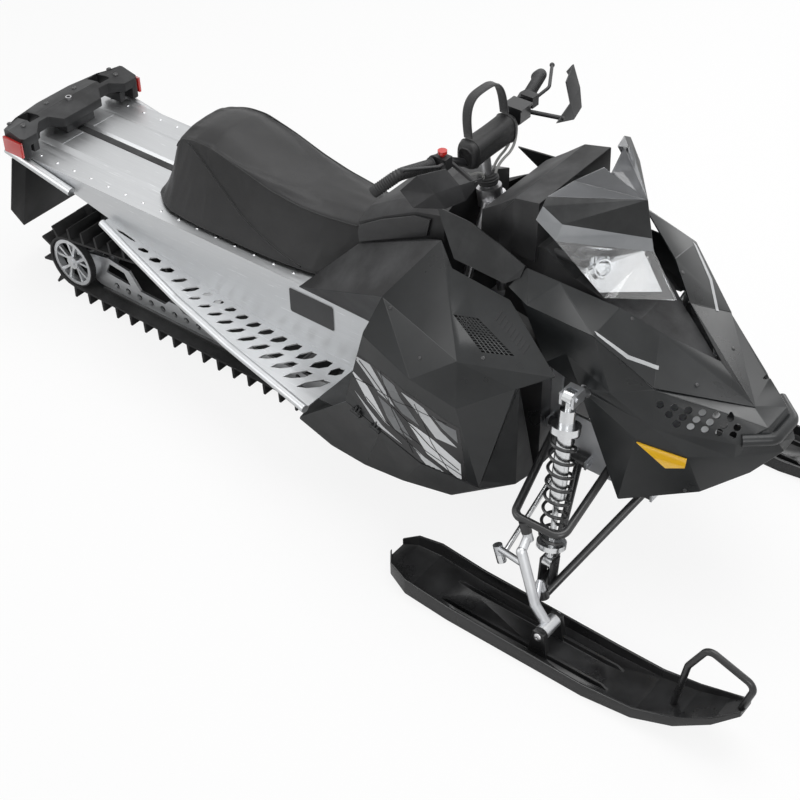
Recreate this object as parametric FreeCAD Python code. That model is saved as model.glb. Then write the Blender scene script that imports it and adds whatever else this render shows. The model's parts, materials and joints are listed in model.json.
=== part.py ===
"""Mountain snowmobile: faceted body on an aluminium tunnel, track behind, two steered skis in front.

Frame while modelling: X forward, Y to the rider's left, Z up, in millimetres.
The zero is on the ground, below the ski pivots, midway between the skis.
At the end the whole machine is moved so that the origin is under the middle of its own box.
"""
import FreeCAD, Part
import math
import os

V = FreeCAD.Vector

# ---------------------------------------------------------------- driving dimensions
# skis
SKI_STANCE = 1040.0          # between the middles of the two skis
SKI_WIDTH = 172.0
SKI_TAIL_X = -492.0
SKI_WALL = 7.0
SKI_PIVOT_Z = 76.0
SKI_PIVOT_R = 6.0
SKI_SADDLE_HALF = 30.0       # half gap of the saddle that takes the spindle's foot

# track
TRACK_WIDTH = 406.0
BELT = 8.0
LUG_HEIGHT = 40.0
LUG_THICK = 11.0
TRACK_PITCH = 64.0
LUG_ROW_Y = 66.0
REAR_AXLE_X = -2096.0
REAR_WHEEL_R = 89.0
DRIVE_X = -660.0
DRIVE_Z = 335.0
DRIVE_R = 84.0
RAIL_FRONT_X = -1120.0       # where the bottom run leaves the ground
RUN_UP_R = 330.0

# tunnel
TUNNEL_WIDTH = 440.0
TUNNEL_TOP_Z = 515.0
TUNNEL_REAR_X = -2290.0
TUNNEL_FRONT_X = -510.0
TUNNEL_SHEET = 3.0
TUNNEL_STEP = 12.0
DECK_ENDS = (-2146.0, -1706.0)   # seams of the bare deck behind the seat
TOW_EYE_X = -2222.0
TOW_EYE_R = 10.0
TOW_EYE_BORE = 6.0

# running boards
BOARD_SHEET = 4.0
BOARD_TUBE_R = 12.0
BOARD_FRONT_X = -873.0
BOARD_FRONT_Y = 440.0
BOARD_REAR_X = -1850.0
BOARD_REAR_Y = 248.0
REAR_RAIL_R = 14.0

# front suspension
ARM_TUBE_R = 11.0
KING_TOP = (-115.0, 462.0, 300.0)
KING_LOW = (-55.0, 470.0, 132.0)
PIVOT_Y = 156.0
UPPER_PIVOTS = ((-232.0, 392.0), (-40.0, 388.0))
LOWER_PIVOTS = ((-158.0, 300.0), (44.0, 300.0))
UPPER_HOOP_X = (-160.0, -14.0)
BALL_GAP = 0.002
SHOCK_TOP = (-104.0, 316.0, 655.0)
SHOCK_LOW = (-66.0, 426.0, 196.0)
SHOCK_BODY_R = 21.0
SHOCK_EYE_HALF = 13.0
SEAT_LOW = (0.10, 0.13)        # fractions of the spring unit's length
SEAT_TOP = (0.80, 0.84)
SPRING_R = 37.0
SPRING_WIRE_R = 4.5
SPRING_TURNS = 8
TIE_OUT = (-184.0, 472.0, 172.0)
TIE_IN = (-218.0, 70.0, 292.0)
TIE_R = 7.0
TIE_LIFT = 15.0

# steering
POST_TOP = (-596.0, 0.0, 1013.0)
POST_LOW = (-528.0, 0.0, 610.0)
POST_R = 14.0
BAR_R = 11.0
GRIP_R = 16.5
BAR_HALF = 350.0

# panels
PANEL = 4.0
DOOR_HINGE_REAR = (-733.0, 440.0, 398.0)
DOOR_HINGE_FRONT = (-320.0, 440.0, 262.0)
HINGE_X = (-690.0, -625.0)
HINGE_PIN_R = 2.5
KNUCKLE_R = 5.5
KNUCKLE_HALF = 9.0
SEAM = 5.0
CLEAR = 0.3
FOOT_Z = 302.0

# vents
NOSE_VENT_R = 9.5
GRILLE_BAR_R = 1.5

HALF_TUNNEL = TUNNEL_WIDTH / 2
HALF_TRACK = TRACK_WIDTH / 2


# ---------------------------------------------------------------- small helpers
def vec(p):
    return V(p[0], p[1], p[2])


def face_of(points):
    ring = [vec(p) for p in points]
    return Part.Face(Part.makePolygon(ring + [ring[0]]))


def box(x0, x1, y0, y1, z0, z1):
    return Part.makeBox(x1 - x0, y1 - y0, z1 - z0, V(x0, y0, z0))


def prism_y(outline_xz, y0, y1):
    return face_of([(x, y0, z) for x, z in outline_xz]).extrude(V(0, y1 - y0, 0))


def prism_x(outline_yz, x0, x1):
    return face_of([(x0, y, z) for y, z in outline_yz]).extrude(V(x1 - x0, 0, 0))


def prism_z(outline_xy, z0, z1):
    return face_of([(x, y, z0) for x, y in outline_xy]).extrude(V(0, 0, z1 - z0))


def rod(a, b, radius):
    a, b = vec(a), vec(b)
    return Part.makeCylinder(radius, (b - a).Length, a, b - a)


def ring(a, b, outer, inner):
    return rod(a, b, outer).cut(rod(a, b, inner))


def mirrored(shape):
    return shape.mirror(V(0, 0, 0), V(0, 1, 0))


def both_sides(shape):
    return [shape, mirrored(shape)]


def fuse(shapes):
    shapes = list(shapes)
    return shapes[0].fuse(shapes[1:]).removeSplitter() if len(shapes) > 1 else shapes[0]


def bent_wire(points, bend):
    """Straight runs joined by tangent arcs of one radius."""
    pts = [vec(p) for p in points]
    edges = []
    start = pts[0]
    for before, here, after in zip(pts, pts[1:], pts[2:]):
        u = (before - here).normalize()
        w = (after - here).normalize()
        half = math.acos(max(-1.0, min(1.0, u.dot(w)))) / 2
        reach = bend / math.tan(half)
        a = here + u * reach
        b = here + w * reach
        axis = (u + w).normalize()
        middle = here + axis * (bend / math.sin(half) - bend)
        edges.append(Part.LineSegment(start, a).toShape())
        edges.append(Part.Arc(a, middle, b).toShape())
        start = b
    edges.append(Part.LineSegment(start, pts[-1]).toShape())
    return Part.Wire(edges)


def bent_tube(points, radius, bend):
    wire = bent_wire(points, bend)
    start = vec(points[0])
    along = vec(points[1]) - start
    circle = Part.Wire(Part.Circle(start, along, radius).toShape())
    return wire.makePipeShell([circle], True, False)


def facing_out(a, b, c, core):
    """Triangle a, b, c turned so that its normal points away from the core."""
    n = (b - a).cross(c - a)
    middle = (a + b + c) * (1 / 3)
    return n.dot(middle - core) > 0


def triangles_of(facets, core):
    """Fan triangles of the facets; the first is turned away from the core and the rest agree with it."""
    todo = [(loop[0], loop[i], loop[i + 1]) for loop in facets for i in range(1, len(loop) - 1)]
    found = []
    while todo:
        edges = {pair for tri in found for pair in zip(tri, tri[1:] + tri[:1])}
        turned = None
        for tri in todo:
            pairs = list(zip(tri, tri[1:] + tri[:1]))
            if any(pair in edges for pair in pairs):
                turned = tri[::-1]
                break
            if any(pair[::-1] in edges for pair in pairs):
                turned = tri
                break
        if turned is None:
            tri = todo[0]
            turned = tri if facing_out(*[vec(CORNERS[name]) for name in tri], core) else tri[::-1]
        todo.remove(tri)
        found.append(turned)
    return found


def facet_shell(facets, depth, core, beside=()):
    """Moulded panel: flat facets between named corners, thickened by depth towards the core.

    beside holds the facets of panels that meet this one edge to edge, so that both share one rim.
    """
    around = triangles_of(list(facets) + list(beside), vec(core))
    own = {frozenset((loop[0], loop[i], loop[i + 1])) for loop in facets for i in range(1, len(loop) - 1)}
    triangles = [tri for tri in around if frozenset(tri) in own]
    outer = {name: vec(CORNERS[name]) for tri in around for name in tri}
    normals = {name: [] for name in outer}
    for a, b, c in around:
        n = (outer[b] - outer[a]).cross(outer[c] - outer[a])
        weight = n.Length
        n = n.normalize()
        for name in (a, b, c):
            normals[name].append((n, weight))
    inner = {}
    for name, listed in normals.items():
        mean = V(0, 0, 0)
        for n, weight in listed:
            mean = mean + n * weight
        mean = mean.normalize()
        flattest = min(n.dot(mean) for n, weight in listed)
        inner[name] = outer[name] - mean * (depth / max(flattest, 0.6))
    edges = set()
    for a, b, c in triangles:
        edges.update(((a, b), (b, c), (c, a)))
    faces = []
    for a, b, c in triangles:
        faces.append(face_of([outer[a], outer[b], outer[c]]))
        faces.append(face_of([inner[c], inner[b], inner[a]]))
    for a, b in edges:
        if (b, a) not in edges:
            corner = inner[a] if a < b else outer[a]
            other = outer[b] if a < b else inner[b]
            faces.append(face_of([outer[b], outer[a], corner] if a < b else [outer[b], outer[a], other]))
            faces.append(face_of([other, corner, inner[b]] if a < b else [corner, inner[a], other]))
    solid = Part.Solid(Part.Shell(faces))
    if solid.Volume < 0:
        solid.reverse()
    return solid


def loft_sections(sections):
    """Straight-sided loft through closed rings of points."""
    wires = [Part.makePolygon([vec(p) for p in ring_] + [vec(ring_[0])]) for ring_ in sections]
    return Part.makeLoft(wires, True, True)


def on_line(points, x):
    """Value at x on a broken line of (x, value) points, sorted by x."""
    for (x0, v0), (x1, v1) in zip(points, points[1:]):
        if x <= x1:
            return v0 + (v1 - v0) * (x - x0) / (x1 - x0)
    return points[-1][1]


parts = {}

# ---------------------------------------------------------------- tunnel and rear
SILL = [(TUNNEL_REAR_X, 486.0), (-2148.0, 478.0), (-1980.0, 452.0), (-1716.0, 392.0),
        (-1471.0, 342.0), (-1225.0, 318.0), (BOARD_FRONT_X, 306.0), (TUNNEL_FRONT_X, 300.0)]


def tunnel():
    """Folded sheet: stepped top with a middle channel, two walls and the front closing sheet."""
    top = TUNNEL_TOP_Z
    w = HALF_TUNNEL
    t = TUNNEL_SHEET
    high = top + TUNNEL_STEP
    right = [(-w, top), (-132, top + 3), (-112, high), (-22, high), (-13, high - 9)]
    outline = right + [(-y, z) for y, z in reversed(right)]
    under = [(y, z - t) for y, z in outline]
    top_sheet = prism_x(outline + list(reversed(under)), TUNNEL_REAR_X, TUNNEL_FRONT_X)
    head_x, head_z = ARM_HEADS[1]
    lug = [(head_x - 60, on_line(SILL, head_x - 60)), (head_x - 20, head_z - 20), (head_x + 20, head_z - 20),
           (head_x + 60, on_line(SILL, head_x + 60))]
    edge = [p for p in SILL if p[0] < head_x - 60] + lug + [p for p in SILL if p[0] > head_x + 60]
    side = edge + [(TUNNEL_FRONT_X, top - t / 2), (TUNNEL_REAR_X, top - t / 2)]
    wall = prism_y(side, w - t, w)
    foot = w - t - 14
    half = [(-w + t / 2, top - t / 2)] + [(y, z - t / 2) for y, z in right[1:]]
    half = [(-foot, 125.0), (-foot, SILL[-1][1]), (-w + t / 2, SILL[-1][1])] + half
    front = prism_x(half + [(-y, z) for y, z in reversed(half)], TUNNEL_FRONT_X - t, TUNNEL_FRONT_X)
    seams = [box(x - 1.5, x + 1.5, -114, 114, high - 1, high + 2) for x in DECK_ENDS]
    return fuse([top_sheet, wall, mirrored(wall), front]).cut(seams).removeSplitter()


def board_edge(x):
    """Middle of the outer tube at station x."""
    y = on_line([(BOARD_REAR_X, BOARD_REAR_Y), (BOARD_FRONT_X, BOARD_FRONT_Y)], x)
    return y


# one row per hole, from the tail forward: x, share of the room across, half length along x,
# half length across, slant (shift along x per unit across)
BOARD_HOLES = [
    (-1762, 0.50, 42, 0.22, 0.0), (-1684, 0.50, 18, 0.25, 0.2), (-1630, 0.50, 17, 0.27, 0.3),
    (-1576, 0.50, 16, 0.29, 0.5), (-1522, 0.50, 11, 0.30, 0.7), (-1472, 0.48, 11, 0.30, 0.7),
    (-1420, 0.26, 11, 0.13, 0.5), (-1436, 0.68, 10, 0.16, 0.9), (-1372, 0.26, 12, 0.13, 0.5),
    (-1390, 0.68, 11, 0.16, 0.9), (-1324, 0.26, 13, 0.14, 0.5), (-1344, 0.68, 12, 0.17, 0.9),
    (-1276, 0.26, 14, 0.14, 0.5), (-1298, 0.68, 13, 0.17, 0.9), (-1228, 0.26, 15, 0.15, 0.5),
    (-1250, 0.68, 13, 0.18, 0.9), (-1178, 0.26, 16, 0.15, 0.5), (-1200, 0.68, 14, 0.18, 0.9),
    (-1126, 0.26, 17, 0.15, 0.5), (-1148, 0.68, 15, 0.18, 0.9), (-1072, 0.26, 18, 0.16, 0.5),
    (-1094, 0.68, 16, 0.19, 0.9), (-1016, 0.26, 19, 0.16, 0.5), (-1038, 0.68, 17, 0.19, 0.9),
    (-958, 0.26, 20, 0.16, 0.5), (-980, 0.68, 18, 0.19, 0.9), (-904, 0.24, 17, 0.12, 0.2),
    (-920, 0.66, 19, 0.20, 0.9),
]


def board_hole(x, share, half_x, half_share, slant):
    """Leaf-shaped drain hole through the left board, blunt ahead and pointed towards the outer tube."""
    room = board_edge(x) - BOARD_TUBE_R - 6 - HALF_TUNNEL
    y = HALF_TUNNEL + room * share
    h = room * half_share
    leaf = [(-0.5, -0.9), (0.6, -1.0), (1.0, -0.1), (0.5, 0.6), (-0.6, 1.0), (-1.0, 0.2)]
    outline = [(x + half_x * u - slant * h * v * 0.6, y + h * v) for u, v in leaf]
    z = on_line(SILL, x)
    return prism_z(outline, z - 40, z + 40)


def running_board():
    """Left board: folded sheet from the tunnel's sill to a round outer tube."""
    t = BOARD_SHEET
    stations = [BOARD_REAR_X] + [x for x, z in SILL if BOARD_REAR_X < x < BOARD_FRONT_X] + [BOARD_FRONT_X]
    tube_pts = [(x, board_edge(x), on_line(SILL, x)) for x in stations]
    segments = []
    for x0, x1 in zip(stations, stations[1:]):
        z0, z1 = on_line(SILL, x0), on_line(SILL, x1)
        y_in = HALF_TUNNEL
        y0, y1 = board_edge(x0), board_edge(x1)
        segments.append(loft_sections([
            [(x0, y_in, z0), (x0, y0, z0), (x0, y0, z0 - t), (x0, y_in, z0 - t)],
            [(x1, y_in, z1), (x1, y1, z1), (x1, y1, z1 - t), (x1, y_in, z1 - t)]]))
    tube = bent_tube([(x, y, z - t / 2) for x, y, z in tube_pts], BOARD_TUBE_R, 400)
    return fuse(segments + [tube]).cut([board_hole(*row) for row in BOARD_HOLES])


def rear_rail(grow=0.0):
    """Round rail from the bumper forward along the tunnel's side."""
    y = HALF_TUNNEL + REAR_RAIL_R + CLEAR
    return rod((TUNNEL_REAR_X + 20, y, 522), (-1990, y, 470), REAR_RAIL_R + grow)


def rear_bumper():
    """Moulded grab rail over the tunnel's tail, with two hand slots."""
    z0 = TUNNEL_TOP_Z + TUNNEL_STEP
    outline = [(-2300, -70), (-2285, -150), (-2250, -250), (-2165, -250), (-2165, -190),
               (-2200, -150), (-2200, -110), (-2160, -80)]
    outline = outline + [(x, -y) for x, y in reversed(outline)]
    cap = prism_z(outline, z0, z0 + 86)
    slope = prism_y([(-2400, z0 + 60), (-2400, z0 + 120), (-2140, z0 + 120), (-2140, z0 + 66),
                     (-2230, z0 + 86), (-2290, z0 + 76)], -300, 300)
    cap = cap.cut(slope)
    slot = box(-2275, -2215, 130, 172, z0 - 10, z0 + 120)
    under = box(-2320, -2150, -HALF_TUNNEL, HALF_TUNNEL, z0 - 5, z0 + 40)
    lug = box(-2300, -2180, -60, 60, z0, z0 + 60)
    legs = box(-2260, -2180, 176, HALF_TUNNEL - 20, z0, z0 + 60)
    shell = cap.cut(under)
    feet = fuse([lug, legs, mirrored(legs)])
    rail = rear_rail(CLEAR)
    ends = [prism_z([(-2330, 190), (-2260, 262), (-2330, 262)], z0 - 5, z0 + 120)]
    ends += [prism_z([(-2185, 262), (-2150, 225), (-2150, 262)], z0 - 5, z0 + 120)]
    cuts = [slot, mirrored(slot), rail, mirrored(rail)] + ends + [mirrored(end) for end in ends]
    eye = rod((TOW_EYE_X, 0, z0 - 10), (TOW_EYE_X, 0, z0 + 120), TOW_EYE_R)
    return shell.fuse([feet]).cut(cuts + [eye]).removeSplitter()


def tow_eye():
    z0 = TUNNEL_TOP_Z + TUNNEL_STEP
    return ring((TOW_EYE_X, 0, z0), (TOW_EYE_X, 0, z0 + 92), TOW_EYE_R, TOW_EYE_BORE)


def tail_lamps():
    z0 = TUNNEL_TOP_Z + TUNNEL_STEP
    lens = prism_z([(-2249, 250 + CLEAR), (-2249, 261), (-2167, 261), (-2167, 250 + CLEAR)], z0 + 10, z0 + 62)
    return Part.makeCompound(both_sides(lens))


def snow_flap():
    """Flap hung from the tunnel's tail, wings folded forward, with slots above the fold."""
    t = 5.0
    top = (TUNNEL_REAR_X - 8, 482.0)
    low = (-2392.0, 132.0)

    def place(s, y):
        fold = max(0.0, abs(y) - 140) * 0.35
        return (top[0] + (low[0] - top[0]) * s + fold, y, top[1] + (low[1] - top[1]) * s)
    strips = []
    for rows in ([(0.0, -225), (0.62, -225), (1.0, -140), (0.0, -140)],
                 [(0.0, -140), (1.0, -140), (1.0, 140), (0.0, 140)]):
        strips.append(face_of([place(s, y) for s, y in rows]).extrude(V(-t, 0, 0)))
    strips.append(mirrored(strips[0]))
    hanger = box(top[0] - t, TUNNEL_REAR_X, -130, 130, 478, TUNNEL_TOP_Z + TUNNEL_STEP)
    slots = [box(-2420, -2250, y - 6, y + 6, 398, 440) for y in (-119, -97, -75, -53, 53, 75, 97, 119)]
    return fuse(strips + [hanger]).cut(slots)


# ---------------------------------------------------------------- track and its suspension
REAR_AXLE_Z = LUG_HEIGHT + BELT + REAR_WHEEL_R


def track_path(offset):
    """Closed line of the belt, offset outwards: rear wheel, bottom run, rise, drive wheel, top run."""
    rear = V(REAR_AXLE_X, 0, REAR_AXLE_Z)
    drive = V(DRIVE_X, 0, DRIVE_Z)
    rise = V(RAIL_FRONT_X, 0, LUG_HEIGHT + BELT + RUN_UP_R)
    rear_r = REAR_WHEEL_R + offset
    drive_r = DRIVE_R + offset
    rise_r = RUN_UP_R + offset
    low_z = REAR_AXLE_Z - rear_r

    def tangent(c0, r0, c1, r1):
        """Outer tangent of two circles, seen from c0 towards c1: its two ends and its normal's angle."""
        d = c1 - c0
        angle = math.atan2(d.z, d.x) - math.acos((r0 - r1) / d.Length)
        n = V(math.cos(angle), 0, math.sin(angle))
        return c0 + n * r0, c1 + n * r1, angle

    def on(centre, radius, angle):
        return centre + V(math.cos(angle), 0, math.sin(angle)) * radius
    rise_end, drive_low, a_low = tangent(rise, rise_r, drive, drive_r)
    drive_top, rear_top, a_top = tangent(drive, drive_r, rear, rear_r)
    while a_top < a_low:
        a_top += 2 * math.pi
    start = V(REAR_AXLE_X, 0, low_z)
    leave = V(RAIL_FRONT_X, 0, low_z)
    edges = [Part.LineSegment(start, leave).toShape(),
             Part.Arc(leave, on(rise, rise_r, (-math.pi / 2 + a_low) / 2), rise_end).toShape(),
             Part.LineSegment(rise_end, drive_low).toShape(),
             Part.Arc(drive_low, on(drive, drive_r, (a_low + a_top) / 2), drive_top).toShape(),
             Part.LineSegment(drive_top, rear_top).toShape(),
             Part.Arc(rear_top, on(rear, rear_r, (a_top + 3 * math.pi / 2) / 2), start).toShape()]
    return Part.Wire(edges)


def track_strip(y0, y1, phase):
    """One strip of the belt across the width, with a lug on every pitch; phase 0 or 1 staggers them."""
    outer = track_path(BELT)
    count = 2 * round(outer.Length / TRACK_PITCH)
    base = outer.discretize(Number=count + 1)
    points = []
    for i in range(count):
        if i % 2 == phase:
            ahead = (base[(i + 1) % count] - base[(i - 1) % count]).normalize()
            out = V(ahead.z, 0, -ahead.x)
            for side, high in ((-0.5, 0.0), (-0.32, 1.0), (0.32, 1.0), (0.5, 0.0)):
                points.append(base[i] + ahead * (side * LUG_THICK) + out * (high * LUG_HEIGHT))
        else:
            points.append(base[i])
    across = V(0, y1 - y0, 0)
    strip = Part.Face(Part.makePolygon(points + [points[0]])).extrude(across)
    strip = strip.cut(Part.Face(track_path(0)).extrude(across))
    strip.translate(V(0, y0, 0))
    return strip


def track():
    """Belt with paddles in three rows that take turns along the loop."""
    rows = [(-HALF_TRACK, -LUG_ROW_Y, 0), (-LUG_ROW_Y, LUG_ROW_Y, 1), (LUG_ROW_Y, HALF_TRACK, 0)]
    return fuse([track_strip(*row) for row in rows])


RAIL_Y = 150.0
RAIL_TIE_R = 9.0
TIE_UP = 27.0
ARM_FEET = (-1190.0, -1710.0)
ARM_HEADS = ((-980.0, 328.0), (-1436.0, 290.0))
RAIL_THICK = 9.0
SWING_ARM_R = 12.0
HYFAX = 12.0


def slide_rails():
    """Two drilled rails with upturned noses and arched tails, tied by cross tubes."""
    low = LUG_HEIGHT + BELT + CLEAR + HYFAX + CLEAR
    outline = [(REAR_AXLE_X - 22, REAR_AXLE_Z - 20), (-2020, low), (RAIL_FRONT_X, low), (-1020, low + 14),
               (-935, low + 44), (-865, low + 88), (-880, low + 112), (-950, low + 84), (-1040, low + 58),
               (RAIL_FRONT_X, low + 50), (-1640, low + 50), (-1660, low + 70), (-1700, low + 70),
               (-1720, low + 50), (-1830, low + 52), (-1872, low + 112), (-1962, low + 124),
               (REAR_AXLE_X - 22, REAR_AXLE_Z + 20)]
    rail = prism_y(outline, RAIL_Y - RAIL_THICK / 2, RAIL_Y + RAIL_THICK / 2)
    holes = [rod((REAR_AXLE_X, 0, REAR_AXLE_Z), (REAR_AXLE_X, 300, REAR_AXLE_Z), AXLE_R + CLEAR)]
    arch = [(-1985, low + 62), (-1872, low + 56), (-1896, low + 96), (-1960, low + 104)]
    holes.append(prism_y(arch, RAIL_Y - 20, RAIL_Y + 20))
    x = -1940.0
    while x < RAIL_FRONT_X:
        holes.append(rod((x, RAIL_Y - 20, low + 26), (x, RAIL_Y + 20, low + 26), 11))
        x += 52.0
    ties = [rod((x, -RAIL_Y, low + TIE_UP), (x, RAIL_Y, low + TIE_UP), RAIL_TIE_R) for x in ARM_FEET]
    return fuse(both_sides(rail.cut(holes)) + ties)


def hyfax():
    z0 = LUG_HEIGHT + BELT + CLEAR
    strip = box(-2000, RAIL_FRONT_X, RAIL_Y - 14, RAIL_Y + 14, z0, z0 + HYFAX)
    return Part.makeCompound(both_sides(strip))


def spoked_wheel(y0, y1, radius, spokes):
    """Idler wheel: rim, hub and forked spokes, axis along Y."""
    c0, c1 = (REAR_AXLE_X, y0, REAR_AXLE_Z), (REAR_AXLE_X, y1, REAR_AXLE_Z)
    shapes = [ring(c0, c1, radius, radius - 12), rod(c0, c1, 24)]
    inset = (y1 - y0) * 0.25
    for i in range(spokes):
        a = 2 * math.pi * i / spokes + math.pi / 2
        for fork in (-0.24, 0.24):
            legs = [(20, a - 0.2), (radius - 8, a + fork - 0.07), (radius - 8, a + fork + 0.07), (20, a + 0.2)]
            outline = [(REAR_AXLE_X + r * math.cos(t), REAR_AXLE_Z + r * math.sin(t)) for r, t in legs]
            shapes.append(prism_y(outline, y0 + inset, y1 - inset))
    return fuse(shapes)


WHEEL_WIDTH = 22.0
WHEEL_TYRE = 5.0
AXLE_R = 10.0


def rear_idlers():
    """Four wheels on one axle."""
    rim_r = REAR_WHEEL_R - WHEEL_TYRE - CLEAR
    outer = spoked_wheel(HALF_TRACK - 6 - WHEEL_WIDTH, HALF_TRACK - 6, rim_r, 5)
    inner = spoked_wheel(40, 40 + WHEEL_WIDTH, rim_r, 5)
    end = HALF_TRACK - 2
    axle = rod((REAR_AXLE_X, -end, REAR_AXLE_Z), (REAR_AXLE_X, end, REAR_AXLE_Z), AXLE_R)
    return fuse([axle] + both_sides(outer) + both_sides(inner))


def idler_tyres():
    """Tyres with many flat sides, one on each idler."""
    sides = 36
    outer = REAR_WHEEL_R - CLEAR
    inner = (REAR_WHEEL_R - WHEEL_TYRE) / math.cos(math.pi / sides)
    tyres = []
    for y in (HALF_TRACK - 6 - WHEEL_WIDTH, 40):
        loops = []
        for radius in (outer, inner):
            angles = [2 * math.pi * i / sides for i in range(sides)]
            loop = [(REAR_AXLE_X + radius * math.cos(a), REAR_AXLE_Z + radius * math.sin(a)) for a in angles]
            loops.append(prism_y(loop, y, y + WHEEL_WIDTH))
        tyres += both_sides(loops[0].cut(loops[1]))
    return Part.makeCompound(tyres)


def suspension_arms():
    """Front and rear swing arms between tunnel and rails, with their spring units."""
    low = LUG_HEIGHT + BELT + CLEAR + HYFAX + CLEAR
    shapes = []
    y = RAIL_Y - RAIL_THICK / 2 - SWING_ARM_R - 1.0
    reach = HALF_TUNNEL - TUNNEL_SHEET
    for (head_x, head_z), foot_x in zip(ARM_HEADS, ARM_FEET):
        foot_z = low + TIE_UP
        for s in (-1, 1):
            shapes.append(rod((head_x, s * y, head_z), (foot_x, s * y, foot_z), SWING_ARM_R))
        tie = rod((foot_x, -y - 7, foot_z), (foot_x, y + 7, foot_z), 15)
        shapes.append(tie)
        shapes.append(rod((head_x, -reach, head_z), (head_x, reach, head_z), 13))
    arms = fuse(shapes)
    return arms.cut([rod((x, -RAIL_Y, low + TIE_UP), (x, RAIL_Y, low + TIE_UP), RAIL_TIE_R + CLEAR) for x in ARM_FEET])


def drive_axle():
    wheels = [rod((DRIVE_X, s * 70 - 12, DRIVE_Z), (DRIVE_X, s * 70 + 12, DRIVE_Z), DRIVE_R - CLEAR) for s in (-1, 1)]
    shaft = rod((DRIVE_X, -HALF_TUNNEL + TUNNEL_SHEET, DRIVE_Z), (DRIVE_X, HALF_TUNNEL - TUNNEL_SHEET, DRIVE_Z), 15)
    return fuse(wheels + [shaft])


# ---------------------------------------------------------------- body corners
# name: (x, half width, z), left side; the right side is the same with y reversed
CORNERS = {
    "shield_tip": (-188, 0, 1173), "shield_notch": (-199, 36, 1115), "shield_high": (-205, 60, 1142),
    "shield_kink": (-262, 100, 1104), "shield_rear": (-290, 172, 1087),
    "brow": (-113, 0, 1056), "band_mid": (-91, 0, 953), "band_bend": (-241, 175, 1029),
    "band_side": (-285, 195, 1074), "cowl_out": (-297, 205, 1036),
    "face_side": (-247, 190, 986), "face_mid": (-83, 0, 917), "lamp_low": (-143, 120, 821), "lamp_tip": (-6, 0, 805),
    "glow_mid": (-112, 0, 905), "glow_tip": (-48, 0, 812), "glow_low": (-162, 106, 824),
    "glow_side": (-258, 166, 962), "glow_deep": (-188, 66, 868),
    "wing_a": (-340, 248, 845), "wing_b": (-270, 268, 836), "wing_c": (-93, 245, 805),
    "wing_d": (56, 190, 680), "wing_e": (236, 0, 590),
    "lip_a": (-300, 230, 908), "lip_b": (-222, 200, 879), "lip_c": (-90, 130, 821),
    "lip_d": (-4, 75, 750), "lip_e": (136, 0, 677),
    "wall_b": (-318, 226, 806), "wall_r": (-236, 226, 640), "under_c": (-93, 236, 795),
    "under_d": (56, 190, 674.6), "under_e": (236, 0, 584.6), "flank_s": (-172, 232, 703), "flank_t": (-63, 240, 719),
    "nose_a": (-119, 250, 633), "nose_b": (-36, 240, 651), "nose_c": (75, 215, 579),
    "nose_d": (254, 110, 545), "nose_e": (304, 50, 584), "nose_f": (42, 230, 536),
    "nose_g": (162, 180, 504), "nose_h": (255, 110, 501),
    "keel_a": (8, 230, 310), "keel_b": (195, 150, 382), "keel_c": (289, 80, 448), "keel_d": (346, 30, 515),
    "latch": (-580, 205, 860), "crest": (-341, 238, 797), "tip": (-150, 322, 700), "dip": (-517, 243, 821.5),
    "inset": (-451, 264, 795),
    "waist_a": (-673, 330, 710), "waist_b": (-384, 400, 684), "waist_c": (-232, 368, 648),
    "art_a": (-681, 410, 636), "art_b": (-510, 430, 583), "art_c": (-367, 426, 556),
    "sill_a": (-733, 430, 402), "sill_b": (-610, 435, 364), "sill_c": (-489, 420, 304), "sill_d": (-320, 385, 283),
    "belly_a": (-948, 385, 190), "belly_b": (-835, 382, 148), "belly_g": (-715, 380, 138),
    "belly_c": (-590, 374, 146), "belly_d": (-428, 362, 173), "belly_e": (-262, 300, 262),
    "floor_a": (-905, 228, 298), "floor_b": (-790, 228, 296), "floor_c": (-560, 228, 292),
    "floor_m": (-490, 214, 112), "floor_e": (-272, 200, 225), "cheek": (-262, 300, 600),
    "knee_a": (-1065, 227, 512), "knee_b": (-903, 150, 684), "knee_c": (-672, 150, 796),
    "knee_d": (-740, 227, 505), "knee_e": (-588, 196, 850), "knee_f": (-680, 320, 705),
    "toe_a": (-690, 396, 632), "toe_b": (-700, 227, 420), "toe_c": (-742, 416, 404),
}
# rims of the belly pan, below the doors' sills, and its front posts, behind the doors' front edges
for key in "abcd":
    cx, cy, cz = CORNERS["sill_" + key]
    CORNERS["rim_" + key] = (cx, cy - 3, cz - 1.6 * SEAM)
for key, corner, lift in (("post_a", "waist_c", 0), ("post_d", "sill_d", 8)):
    cx, cy, cz = CORNERS[corner]
    CORNERS[key] = (cx - 3, cy - SEAM - 3 * PANEL, cz + lift)
for key, (cx, cy, cz) in list(CORNERS.items()):
    CORNERS[key + "'"] = (cx, -cy, cz)


def mirror_facets(facets):
    """The other side's facets, with names primed where the corner is off the middle plane."""
    out = []
    for loop in facets:
        swapped = [name if CORNERS[name][1] == 0 else name + "'" for name in loop]
        out.append((swapped[0],) + tuple(reversed(swapped[1:])))
    return out


POD_CORE = (-260, 0, 940)
HOOD_CORE = (-150, 0, 450)
SIDE_CORE = (-420, 120, 480)


def panel_pair(facets, depth, core, middle=()):
    """One panel across both sides; middle holds the facets that cross from side to side."""
    return facet_shell(facets + mirror_facets(facets) + list(middle), depth, core)


POD = {
    "windshield": [("shield_tip", "brow", "shield_notch"), ("shield_notch", "brow", "shield_high"),
                   ("shield_high", "brow", "shield_kink"), ("shield_kink", "brow", "shield_rear")],
    "cowl_plates": [("brow", "band_mid", "band_bend"), ("brow", "band_bend", "band_side", "shield_rear")],
    "cowl_face": [("band_mid", "face_mid", "face_side", "band_bend"), ("band_bend", "face_side", "cowl_out", "band_side")],
    "lamp_lenses": [("face_mid", "lamp_tip", "lamp_low", "face_side")],
}


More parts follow.
